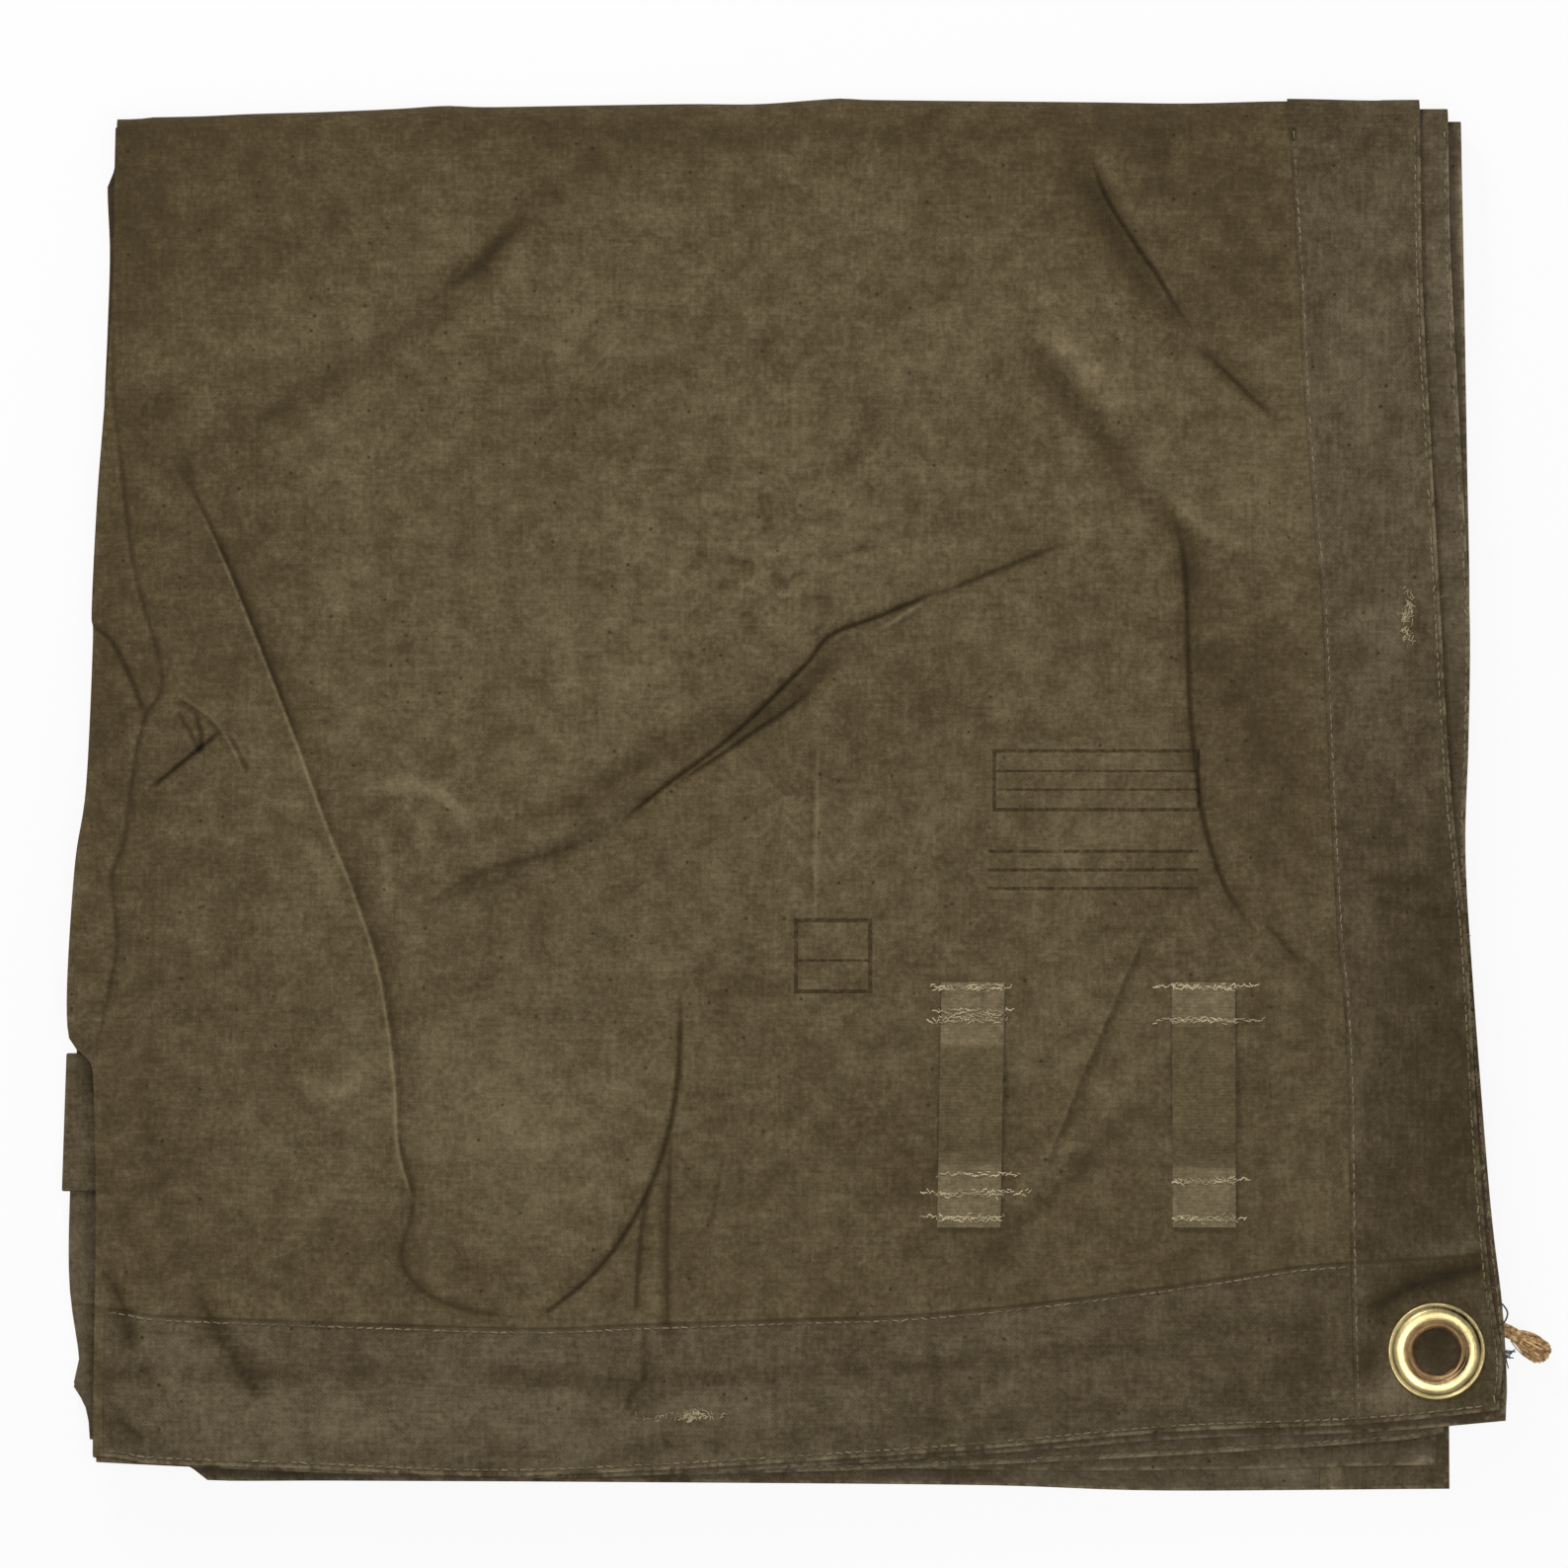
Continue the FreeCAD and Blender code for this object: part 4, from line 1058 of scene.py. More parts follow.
@dataclass(frozen=True)
class RopeFinish:
    """Laid hemp rope with loose fibres."""

    name: str = "hemp_rope"
    colour: tuple[float, float, float] = (240, 204, 146)
    dark: tuple[float, float, float] = (134, 92, 52)

    def material(self) -> bpy.types.Material:
        """Builds the material."""
        shader = Shader(self.name, roughness=0.85)
        place = shader.place()
        dapple = shader.noise(place, 640, 4, 0.7)
        fibres = shader.noise(place, 2600, 3, 0.6)
        base = shader.mix(dapple.rise(0.35, 0.65), srgb(*self.colour), srgb(*self.dark))
        shader.feed(shader.surface, "Base Color", shader.scaled(base, fibres * 0.7 + 0.7))
        shader.bump(fibres + dapple, 0.0003, 0.8)
        return shader.material


@dataclass(frozen=True)
class BrassFinish:
    """Drawn brass, bright on its flange and coppery and scratched inside its barrel, with a painted highlight
    on its rolled lip and painted shade and light on opposite sides of its barrel and flange.
    """

    name: str = "worn_brass"
    bright: tuple[float, float, float] = (218, 198, 140)
    copper: tuple[float, float, float] = (178, 148, 106)
    lip: float = 8.6
    barrel: float = 10.9
    groove: float = 14.1

    def material(self) -> bpy.types.Material:
        """Builds the material."""
        shader = Shader(self.name, roughness=0.3, metallic=0.85)
        centred = {"Vector": shader.place(), "Location": (-EYELET.x, -EYELET.y, 0)}
        place = shader.wire("ShaderNodeMapping", {}, centred)
        x, y, _ = shader.axes(place)
        radius = (x * x + y * y).apply("SQRT")
        angle = y.apply("ARCTAN2", x)
        turned = ({0: angle * 1.2, 1: radius * 1900}, {0: angle * 9.0, 1: radius * 300})
        rings, streaks = (shader.noise(shader.wire("ShaderNodeCombineXYZ", {}, inputs), 1, detail, 0.7)
                          for inputs, detail in zip(turned, (3, 4)))
        grain = shader.noise(place, 900, 4, 0.65)
        sweep = shader.noise(shader.stretched(place, (95, 95, 1)), 1, 1, 0.5)
        inner = 1.0 - radius.rise((self.barrel - 0.9) * MM, (self.barrel + 0.6) * MM)
        outer = 1.0 - inner
        base = shader.mix(inner, srgb(*self.bright), srgb(*self.copper))
        tarnish = (1.0 - (radius - self.groove * MM).apply("ABSOLUTE").rise(0.0001, 0.0008)) * 0.72
        lip = 1.0 - (radius - self.lip * MM).apply("ABSOLUTE").rise(0.0001, 0.0005)
        tone = 1.0 - tarnish + (streaks - 0.5) * 0.5 + (grain - 0.5) * 0.3
        tone = tone + (rings - 0.5) * (inner * 2.6 + 1.1)
        # a painted highlight on the rolled lip, and painted shade over the rest of the barrel
        tone = tone + lip * 0.7 - inner * (1.0 - lip) * 0.1 + (sweep - 0.5) * outer * 1.3
        # painted shade on the barrel's lower right and the flange's upper right, painted light on their
        # opposite sides
        barrel_painted_shading = (angle + math.pi / 4).apply("COSINE")
        flange_painted_shading = (angle - math.pi / 4).apply("COSINE")
        tone = tone - inner * barrel_painted_shading * 0.42 - outer * flange_painted_shading * 0.3
        shader.feed(shader.surface, "Base Color", shader.scaled(base, tone))
        shader.feed(shader.surface, "Roughness", 0.24 + grain * 0.18 + inner * 0.15 + tarnish * 0.3)
        shader.bump(streaks * inner + rings * 0.5 + grain * 0.2, 0.0003, 0.7)
        return shader.material


class Finishes:
    """All the finishes of the sack."""

    def __init__(self) -> None:
        """Builds every material once."""
        stamps = (InkFrame((15.8, -51.8), (12, 11.5), (-1.5,)),
                  InkFrame((101, 5), (33, 9.5), (3, -3), 0.6),
                  InkFrame((100, -24), (34, 9), (6, 0, -6), 0.9, False))
        self.canvas = CanvasFinish(frames=stamps).material()
        self.inner_canvas = CanvasFinish("inner_canvas", (86, 73, 52), (91, 81, 64)).material()
        self.band = CanvasFinish("band_canvas", (80, 67, 45), (87, 77, 58), Weave.DUCK, (), 0.55).material()
        self.webbing = WebbingFinish().material()
        self.seam_thread = ThreadFinish("seam_thread", (134, 121, 95), (98, 86, 64)).material()
        self.tack_thread = ThreadFinish("tack_thread", (204, 190, 154), (150, 136, 106)).material()
        self.worn_thread = ThreadFinish("worn_thread", (178, 163, 128), (112, 98, 72)).material()
        self.dark_thread = ThreadFinish("dark_thread", (98, 104, 104), (58, 62, 62)).material()
        self.rope = RopeFinish().material()
        self.brass = BrassFinish().material()


@dataclass
class FoldedPanel:
    """One panel of canvas in one half: a leaf, the bend at the left and the leaf under it."""

    node: str
    body: str
    fold: Edge
    upper: Region
    lower: Region
    thickness: float
    columns: tuple[int, int, int]
    rows: int
    above: tuple[Edge, Edge] | None
    relief: Field | None = None
    brightness: float = 0.03
    # lightening of the bend round the left fold: partly rubbed wear, partly painted light against the shade
    # the bend turns into
    bend_wear_and_light: float = 0.45
    reaches: tuple[float, ...] = (4.6, 2.2, 0.85)

    def bent(self, share: np.ndarray) -> np.ndarray:
        """From 0 on the leaves to 1 in the middle of the bend."""
        lower, bend, _ = np.cumsum(self.columns) / sum(self.columns)
        return np.sin(math.pi * np.clip((share[:, 0] - lower) / (bend - lower), 0, 1))

    def lay(self, share: np.ndarray) -> tuple[np.ndarray, np.ndarray, np.ndarray]:
        """Bends a flat grid round the left fold.

        Args:
            share: each vertex's shares of the way across and up.

        Returns:
            The vertices' places, their places on the flat cloth, and whether they are on the upper leaf.
        """
        low, high = low_corner(self.node).z, high_corner(self.node).z
        radius, middle = (high - low) / 2, (high + low) / 2
        lower, bend, _ = np.cumsum(self.columns) / sum(self.columns)
        across, up = share.T
        under = across < lower - 1e-6
        over = across > bend - 1e-6
        start = self.upper.place(0 * up, up)
        finish = self.lower.place(0 * up, up)
        turn = np.clip((across - lower) / (bend - lower), 0, 1)
        angle = math.pi * (1 - turn)
        y = finish[:, 1] + turn * (start[:, 1] - finish[:, 1])
        axis = self.fold.x_at(y) + radius
        places = np.column_stack([axis - radius * np.sin(angle), y, middle + radius * np.cos(angle)])
        cloth = np.column_stack([axis - radius * angle, y, 0 * y])
        above = self.upper.place(np.clip((across - bend) / (1 - bend), 0, 1), up)
        below = self.lower.place(np.clip(1 - across / lower, 0, 1), up)
        opened = 2 * axis - math.pi * radius - below[:, 0]
        places[over] = np.column_stack([above, 0 * up + high])[over]
        cloth[over] = np.column_stack([above, 0 * up])[over]
        places[under] = np.column_stack([below, 0 * up + low])[under]
        cloth[under] = np.column_stack([opened, below[:, 1], 0 * up])[under]
        return places, cloth, over

    def build(self, material: bpy.types.Material) -> bpy.types.Object:
        """Builds the panel and dresses it."""
        panel, share = Bench.grid(f"{self.node}_cloth", sum(self.columns), self.rows)
        if self.relief is not None:
            share = self.refine(panel)
        places, cloth, over = self.lay(share)
        mark = np.zeros(len(places))
        if self.relief is not None:
            plan = places[over, :2]
            places[over, 2] += self.relief(plan)
            mark[over] = crease_wear_and_shading(plan)
        Bench.move(panel, places)
        plan = places[:, :2]
        # a leaf under another takes painted shade along the edge of the leaf above and under the eyelet's
        # hole, instead of crease lines
        if self.above is not None:
            mark = painted_crevice_shade(plan, *self.above)
        rim = np.where(over[:, None], rim_of(plan, self.upper.right, self.upper.low),
                       rim_of(plan, self.lower.right, self.lower.low))
        # the bend is lightened: partly rubbed wear, partly painted light
        tone = tone_of(plan) + self.brightness + self.bend_wear_and_light * self.bent(share)
        crumple = over * sum(patch.tone_at(plan) for patch in CRUMPLED)
        Bench.note(panel, cloth=cloth, tone=tone, mark=mark, rim=rim, crumple=crumple)
        if self.relief is not None:
            open_eyelet(panel, high_corner(self.node).z - 2 * MM)
        Bench.thicken(panel, self.thickness)
        Bench.smooth(panel)
        return dress(panel, material, self.body, self.node)

    def refine(self, panel: bpy.types.Object) -> np.ndarray:
        """Divides the faces near creases, more the nearer they are.

        Args:
            panel: the flat grid.

        Returns:
            The shares of the way across and up of all its vertices.
        """
        for reach in self.reaches:
            places, _, over = self.lay(Bench.centres(panel)[:, :2] + 0.5)
            chosen = over & RELIEF.near_crease(places[:, :2], reach)
            Bench.edit_faces(panel, chosen, lambda: bpy.ops.mesh.subdivide(number_cuts=1))
        return Bench.places(panel)[:, :2] + 0.5


def open_eyelet(cloth: bpy.types.Object, lowest: float) -> None:
    """Cuts the hole for the eyelet's barrel in the cloth that lies above a height, in metres."""
    centres = Bench.centres(cloth)
    gap = np.hypot(centres[:, 0] - EYELET.x, centres[:, 1] - EYELET.y)
    chosen = (gap < EYELET_HOLE) & (centres[:, 2] > lowest)
    Bench.edit_faces(cloth, chosen, lambda: bpy.ops.mesh.delete(type="FACE"))


@dataclass
class Band:
    """A strip of canvas sewn flat on a leaf."""

    node: str
    body: str
    region: Region
    columns: int
    rows: int
    rim: tuple[Edge, Edge]
    relief: Field | None = None
    lengthways: bool = False

    def build(self, material: bpy.types.Material) -> bpy.types.Object:
        """Builds the band and dresses it."""
        band, share = Bench.grid(f"{self.node}_cloth", self.columns, self.rows)
        low, high = low_corner(self.node).z, high_corner(self.node).z
        plan = self.region.place(share[:, 0], share[:, 1])
        places = np.column_stack([plan, np.full(len(plan), high)])
        mark = np.zeros(len(plan))
        if self.relief is not None:
            places[:, 2] += self.relief(plan)
            mark = crease_wear_and_shading(plan)
        Bench.move(band, places)
        order = [1, 0, 2] if self.lengthways else [0, 1, 2]
        Bench.note(band, cloth=(places * np.array([1, 1, 0]))[:, order], tone=tone_of(plan), mark=mark,
                   rim=rim_of(plan, *self.rim))
        if self.relief is not None:
            open_eyelet(band, 0.0)
        Bench.thicken(band, high - low)
        Bench.smooth(band)
        return dress(band, material, self.body, self.node)


def distances(line: np.ndarray) -> np.ndarray:
    """How far along a line each of its points lies."""
    return np.concatenate([[0], np.cumsum(np.linalg.norm(np.diff(line, axis=0), axis=1))])


@dataclass
class Stitching:
    """Stitches of thread along lines on the cloth. Lengths are in millimetres, the jitter in radians."""

    name: str
    node: str
    body: str
    pitch: float = 3.1
    length: float = 2.2
    radius: float = 0.27
    jitter: float = 0.12
    seed: int = 3
    scatter: float = 0.0

    def stitch(self) -> bpy.types.Object:
        """One stitch, which lies along X and dips at both ends."""
        Bench.clear()
        radius, half = self.radius * MM, 0.5 * self.length * MM
        bpy.ops.mesh.primitive_cylinder_add(vertices=6, radius=radius, depth=self.length * MM,
                                            rotation=(0, math.pi / 2, 0))
        made = Bench.take("stitch")
        ends = np.abs(Bench.centres(made)[:, 0]) > 0.49 * self.length * MM
        Bench.edit_faces(made, ends, lambda: bpy.ops.mesh.inset(thickness=0.45 * radius, depth=0))
        ends = np.array([len(p.vertices) == 6 for p in made.data.polygons])
        Bench.edit_faces(made, ends, lambda: bpy.ops.transform.resize(value=(1.12, 0.9, 0.9),
                                                                      center_override=(0, 0, 0)))
        everything = np.ones(len(made.data.polygons), bool)
        Bench.edit_faces(made, everything, lambda: bpy.ops.mesh.quads_convert_to_tris())
        places = Bench.places(made)
        places[:, 2] -= 0.35 * radius * (places[:, 0] / half) ** 2
        Bench.move(made, places)
        return made

    def sew(self, lines: Sequence[np.ndarray], material: bpy.types.Material) -> bpy.types.Object:
        """Sews along lines.

        Args:
            lines: each line's points in metres, with three parts.
            material: the thread's finish.

        Returns:
            All the stitches as one piece.
        """
        pattern = self.stitch()
        dice = np.random.default_rng(self.seed)
        pieces = []
        for line in lines:
            place = distances(line)
            for at in np.arange(self.pitch / 2, place[-1] / MM - self.pitch / 3, self.pitch) * MM:
                here, after, before = ([np.interp(at + shift * MM, place, line[:, k]) for k in range(3)]
                                       for shift in (0.0, 0.5, -0.5))
                way = Vector(after) - Vector(before)
                turn = way.to_track_quat("X", "Z").to_matrix().to_4x4()
                skew = Matrix.Rotation(dice.normal(0, self.jitter), 4, "Z")
                skew.translation.y = dice.normal(0, self.scatter) * MM
                stretch = Matrix.Diagonal((dice.uniform(0.8, 1.1), dice.uniform(0.8, 1.2), 1, 1))
                pieces.append(Bench.copy(pattern, Matrix.Translation(here) @ turn @ skew @ stretch))
        bpy.data.objects.remove(pattern)
        sewn = Bench.join(self.name, pieces)
        Bench.smooth(sewn, 60)
        return dress(sewn, material, self.body, self.node)


def line_over(points: np.ndarray, height: float, relief: Field | None = None) -> np.ndarray:
    """A line of the plan laid on the cloth.

    Args:
        points: the line in the plan, in metres.
        height: the height of flat cloth there.
        relief: the cloth's relief, if it has one.

    Returns:
        The line's points with their heights.
    """
    z = np.full(len(points), height)
    if relief is not None:
        z = z + relief(points)
    return np.column_stack([points, z])


@dataclass
class Packet:
    """The folded cloth: the panels and bands of both halves and the seams that show."""

    finishes: Finishes
    ply: float = 0.8 * MM
    back_inset: float = 1.1
    band_margin: float = 1.4
    band_start: float = 3.4
    mouth_width: float = 42.0
    side_width: float = 48.0
    side_end: float = 44.0
    seam_lift: float = 0.2 * MM

    def panels(self) -> list[bpy.types.Object]:
        """The front and back panel of both halves."""
        upper_back, lower_back = UPPER_FOLD.moved(x=self.back_inset), LOWER_FOLD.moved(x=self.back_inset)
        specs = (
            ("front_panel_upper", "upper_half", UPPER_FOLD, LEAF_1, LEAF_2, (36, 8, 124), 118, None),
            ("back_panel_upper", "upper_half", upper_back, BACK_LEAF, LEAF_2, (40, 6, 60), 90, LEAF_1),
            ("front_panel_lower", "lower_half", LOWER_FOLD, LEAF_3, LEAF_4, (80, 8, 60), 90, LEAF_2),
            ("back_panel_lower", "lower_half", lower_back, LEAF_3, LEAF_4, (60, 6, 40), 70, LEAF_2),
        )
        made = []
        for node, body, fold, over, under, columns, rows, above in specs:
            upper, lower = Region(fold, *over, TOP_FOLD), Region(fold, *under, TOP_FOLD)
            shown = {"relief": RELIEF.height, "brightness": 0.0} if above is None else {}
            panel = FoldedPanel(node, body, fold, upper, lower, self.ply, columns, rows, above, **shown)
            made.append(panel.build(self.finishes.canvas if shown else self.finishes.inner_canvas))
        return made

    def inner_side_band(self, node: str, body: str, fold: Edge, leaf: tuple[Edge, Edge]) -> Band:
        """The side seam's band inside a half, along a leaf's low edge."""
        end, side = leaf
        region = Region(fold.moved(x=self.band_start), end.moved(x=-self.side_end), side,
                        side.moved(y=self.side_width))
        return Band(node, body, region, 100, 14, leaf)

    def bands(self) -> list[bpy.types.Object]:
        """The reinforcing bands of both halves."""
        mouth_inner = MOUTH_SEAM.moved(x=-self.band_margin)
        side_inner = SIDE_SEAM.moved(y=self.band_margin)
        mouth = Region(mouth_inner, MOUTH_EDGE, SIDE_EDGE, TOP_FOLD)
        side = Region(UPPER_FOLD.moved(x=self.band_start), mouth_inner.moved(x=-0.1), SIDE_EDGE, side_inner)
        back = Region(BACK_MOUTH_EDGE.moved(x=-self.mouth_width), BACK_MOUTH_EDGE.moved(x=-0.3),
                      BACK_SIDE_EDGE, TOP_FOLD)
        lower = Region(LEAF_4_MOUTH.moved(x=-self.mouth_width), LEAF_4_MOUTH, LEAF_4_SIDE, TOP_FOLD)
        specs = (
            Band("mouth_band", "upper_half", mouth, 30, 260, LEAF_1, RELIEF.height, True),
            Band("side_band", "upper_half", side, 250, 30, LEAF_1, RELIEF.height),
            Band("back_mouth_band", "upper_half", back, 16, 100, BACK_LEAF, lengthways=True),
            self.inner_side_band("inner_side_band_upper", "upper_half", UPPER_FOLD, LEAF_2),
            self.inner_side_band("inner_side_band_lower", "lower_half", LOWER_FOLD, LEAF_3),
            Band("lower_mouth_band", "lower_half", lower, 16, 110, LEAF_4, lengthways=True),
        )
        return [band.build(self.finishes.band) for band in specs]

    def seams(self) -> list[bpy.types.Object]:
        """Every line of stitches along the bands and leaves."""
        mouth_edge = MOUTH_EDGE.upward(-0.2022, 0.2158, 240, -1.7 * MM)
        mouth_edge = mouth_edge[mouth_edge[:, 1] > SIDE_EDGE.y_at(mouth_edge[:, 0]) + 1.5 * MM]
        band, over = high_corner("mouth_band").z, RELIEF.height
        specs = (
            ("mouth_inner", "mouth_band_inner_seam", MOUTH_SEAM.upward(-0.2022, 0.2158, 240), band, over),
            ("mouth_edge", "mouth_band_edge_seam", mouth_edge, band, over),
            ("side_inner", "side_band_inner_seam", SIDE_SEAM.along(-0.219, 0.1835, 240), band, over),
            ("side_edge", "side_band_edge_seam", SIDE_EDGE.along(-0.219, 0.2275, 260, 1.9 * MM), band, over),
            ("back_mouth", "back_mouth_seam", BACK_MOUTH_EDGE.upward(-0.199, 0.2155, 220, -1.2 * MM),
             high_corner("back_panel_upper").z, None),
            ("leaf_2", "leaf_2_side_seam", LEAF_2_SIDE.along(-0.21, 0.211, 220, 1.5 * MM),
             low_corner("leaf_2_side_seam").z, None),
            ("lower_mouth", "lower_mouth_band_seam", LEAF_4_MOUTH.upward(-0.2235, 0.2155, 220, -39.4 * MM),
             high_corner("lower_mouth_band").z, None),
        )
        made = []
        for name, node, line, height, relief in specs:
            body = "lower_half" if name == "lower_mouth" else "upper_half"
            line = line_over(line, height + self.seam_lift, relief)
            made.append(Stitching(f"{name}_stitches", node, body).sew([line], self.finishes.seam_thread))
        return made


@dataclass
class TopFold:
    """The cloth that bends over the top and joins the two halves."""

    finishes: Finishes
    columns: int = 110
    rows: int = 18
    ply: float = 0.8 * MM
    turned_ply: float = 0.75 * MM
    start: float = 0.4 * MM
    seam_margin: float = 1.9 * MM
    reach_points: Points = (
        (-300, 2.8), (-216, 3.0), (-208, 3.6), (-190, 4.0), (-172, 4.8), (-150, 5.4), (-126, 6.4),
        (-110, 7.4), (-96, 7.0), (-60, 7.6), (-30, 8.0), (-8, 8.0), (18, 9.8), (30, 9.3), (98, 8.6),
        (130, 8.2), (162, 8.9), (190, 8.4), (205, 8.6), (300, 8.8))

    def strip(self, name: str, node: str, slot: str, material: bpy.types.Material, right: Edge, left: float,
              low: float, high: float, turn: float = 180.0, reach: float = 1.0) -> bpy.types.Object:
        """One bent strip of cloth.

        Args:
            name: the piece's name.
            node: the CAD node that it stands for.
            slot: not used.
            material: its finish.
            right: the edge where it ends at the right.
            left: where it starts, in metres.
            low: the lowest height of its outer face.
            high: the highest height of its outer face.
            turn: how far it goes round, in degrees.
            reach: how far it stands out, as a share of the outermost strip's reach.

        Returns:
            The strip.
        """
        strip, share = Bench.grid(name, self.columns, self.rows)
        fold_y = TOP_FOLD_Y * MM
        middle, radius = (high + low) / 2, (high - low) / 2
        x = left + share[:, 0] * (right.x_at(np.full(1, fold_y)) - left)
        angle = np.radians(90 - (1 - share[:, 1]) * turn)
        outward = Edge(self.reach_points).y_at(x) * reach
        places = np.column_stack([x, fold_y + outward * np.cos(angle), middle + radius * np.sin(angle)])
        cloth = np.column_stack([x, fold_y + radius * (math.pi / 2 - angle), 0 * x])
        Bench.move(strip, places)
        Bench.pick(strip)
        bpy.ops.object.mode_set(mode="EDIT")
        bpy.ops.mesh.select_all(action="SELECT")
        bpy.ops.mesh.flip_normals()
        bpy.ops.object.mode_set(mode="OBJECT")
        Bench.note(strip, cloth=cloth, tone=tone_of(places[:, :2]), mark=np.zeros(len(places)),
                   rim=np.full((len(places), 3), FAR_INSIDE))
        Bench.thicken(strip, self.turned_ply)
        Bench.smooth(strip)
        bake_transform(strip)
        return dress(strip, material, None, node)

    def build(self) -> list[bpy.types.Object]:
        """The four bends of the panels and the mouth band's turn."""
        canvas, inner = self.finishes.canvas, self.finishes.inner_canvas
        left = UPPER_FOLD.x_at(np.full(1, TOP_FOLD_Y * MM))[0] + self.start
        band_top = high_corner("mouth_band").z
        specs = (
            ("front_fold_outer", "front_panel_top_fold", canvas, MOUTH_EDGE,
             low_corner("front_panel_lower").z, high_corner("front_panel_upper").z, 1.0),
            ("back_fold_outer", "back_panel_top_fold", inner, BACK_MOUTH_EDGE,
             low_corner("back_panel_lower").z, high_corner("back_panel_upper").z, 0.74),
            ("back_fold_inner", "back_panel_top_fold", inner, LEAF_2_END,
             high_corner("back_panel_lower").z - self.ply, low_corner("back_panel_upper").z + self.ply,
             0.26),
            ("front_fold_inner", "front_panel_top_fold", inner, LEAF_3_END,
             high_corner("front_panel_lower").z - self.ply, low_corner("front_panel_upper").z + self.ply,
             0.16),
        )
        made = [self.strip(name, node, "canvas", finish, right, left, low, high, reach=reach)
                for name, node, finish, right, low, high, reach in specs]
        seam_x = MOUTH_SEAM.x_at(np.full(1, TOP_FOLD_Y * MM))[0] - self.seam_margin
        turn_low = 2 * low_corner("mouth_band_top_turn").z - band_top
        made.append(self.strip("mouth_band_turn", "mouth_band_top_turn", "band_canvas", self.finishes.band,
                               MOUTH_EDGE, seam_x, turn_low, band_top, turn=90, reach=1.09))
        return made


@dataclass
class KeeperLoops:
    """The two strips of webbing and the thread that tacks them down. Lengths are in millimetres."""

    finishes: Finishes
    thickness: float = 1.3
    upper_tack: float = 14.0
    lower_tack: float = 19.5
    rise: float = 11.0
    slack: float = 0.6
    tab_blur: float = 0.9
    half_width: float = 10.2
    edge_drop: float = 0.25
    pale_tone: float = 0.85
    rows: tuple[tuple[float, Points], ...] = (
        (60.4, ((-61.6, 2.5, 3.5), (-62.5, 3, 1), (-69.6, 2, 4), (-70.8, -2, 1), (-72.8, 4, 2),
                (-71.8, 0, 2), (-122.6, 1, 6), (-128.4, 6, 10), (-129.2, 1, 1), (-136.4, 6, 1),
                (-137.2, 0, 0))),
        (135.8, ((-61.6, 6, 8), (-62.3, 0, 1), (-72.4, 6, 9.5), (-73, 1, 1), (-124.4, 0, 5), (-125.2, 0, 1),
                 (-136.6, 0, 4), (-137.3, 0, 0))),
    )

    def webbing(self, node: str, name: str, lean: float, tabs: tuple[float, float]) -> bpy.types.Object:
        """One strip, flat at its ends and clear of the cloth between them.

        Args:
            node: the CAD node.
            name: the piece's name.
            lean: how far its low end stands to the right, in metres.
            tabs: how long its pale ends are, the low one first, in millimetres.

        Returns:
            The strip.
        """
        low, high = low_corner(node), high_corner(node)
        strip, share = Bench.grid(name, 16, 130)
        y = low.y + share[:, 1] * (high.y - low.y)
        x = low.x + share[:, 0] * (high.x - low.x) + lean * (0.5 - share[:, 1])
        plan = np.column_stack([x, y])
        from_low, from_high = (y - low.y) / MM, (high.y - y) / MM
        rise = smooth_step(from_low, self.lower_tack, self.lower_tack + self.rise)
        rise *= smooth_step(from_high, self.upper_tack, self.upper_tack + self.rise)
        flat = low.z + self.thickness * MM
        ground = RELIEF.height(plan)
        z = np.maximum(flat + ground, flat + rise * self.slack * (high.z - flat) + 0.3 * ground)
        z -= self.edge_drop * MM * smooth_step(np.abs(share[:, 0] - 0.5) * 2, 0.8, 1.0)
        Bench.move(strip, np.column_stack([plan, z]))
        middle = smooth_step(from_low, tabs[0] - self.tab_blur, tabs[0] + self.tab_blur)
        middle *= smooth_step(from_high, tabs[1] - self.tab_blur, tabs[1] + self.tab_blur)
        Bench.note(strip, cloth=np.column_stack([plan, 0 * z]), tone=self.pale_tone * (1 - middle))
        Bench.thicken(strip, self.thickness * MM)
        Bench.smooth(strip)
        return dress(strip, self.finishes.webbing, "upper_half", node)

    def tacks(self) -> bpy.types.Object:
        """The rows of thread across the ends of both strips.

        Each row has its y, and how far it stands out to the left and right of the webbing.
        """
        foot = high_corner("front_panel_upper").z
        lines = []
        for middle, rows in self.rows:
            for y, left, right in rows:
                x = np.linspace(middle - self.half_width - left, middle + self.half_width + right, 40) * MM
                plan = np.column_stack([x, np.full(len(x), y * MM)])
                on = smooth_step(-np.abs(x / MM - middle), -10.8, -10.1)
                z = foot + RELIEF.height(plan) + 0.15 * MM + on * 1.35 * MM
                lines.append(np.column_stack([plan, z]))
        sewer = Stitching("keeper_tacks", "keeper_tack_stitches", "upper_half", pitch=0.95, length=1.5,
                          radius=0.20, jitter=0.5, seed=11, scatter=0.42)
        return sewer.sew(lines, self.finishes.tack_thread)

    def build(self) -> list[bpy.types.Object]:
        """Both strips and their tacks."""
        return [self.webbing("left_keeper_loop", "left_keeper", -1.4 * MM, (20.4, 20.6)),
                self.webbing("right_keeper_loop", "right_keeper", 0.3 * MM, (19.2, 13.4)),
                self.tacks()]


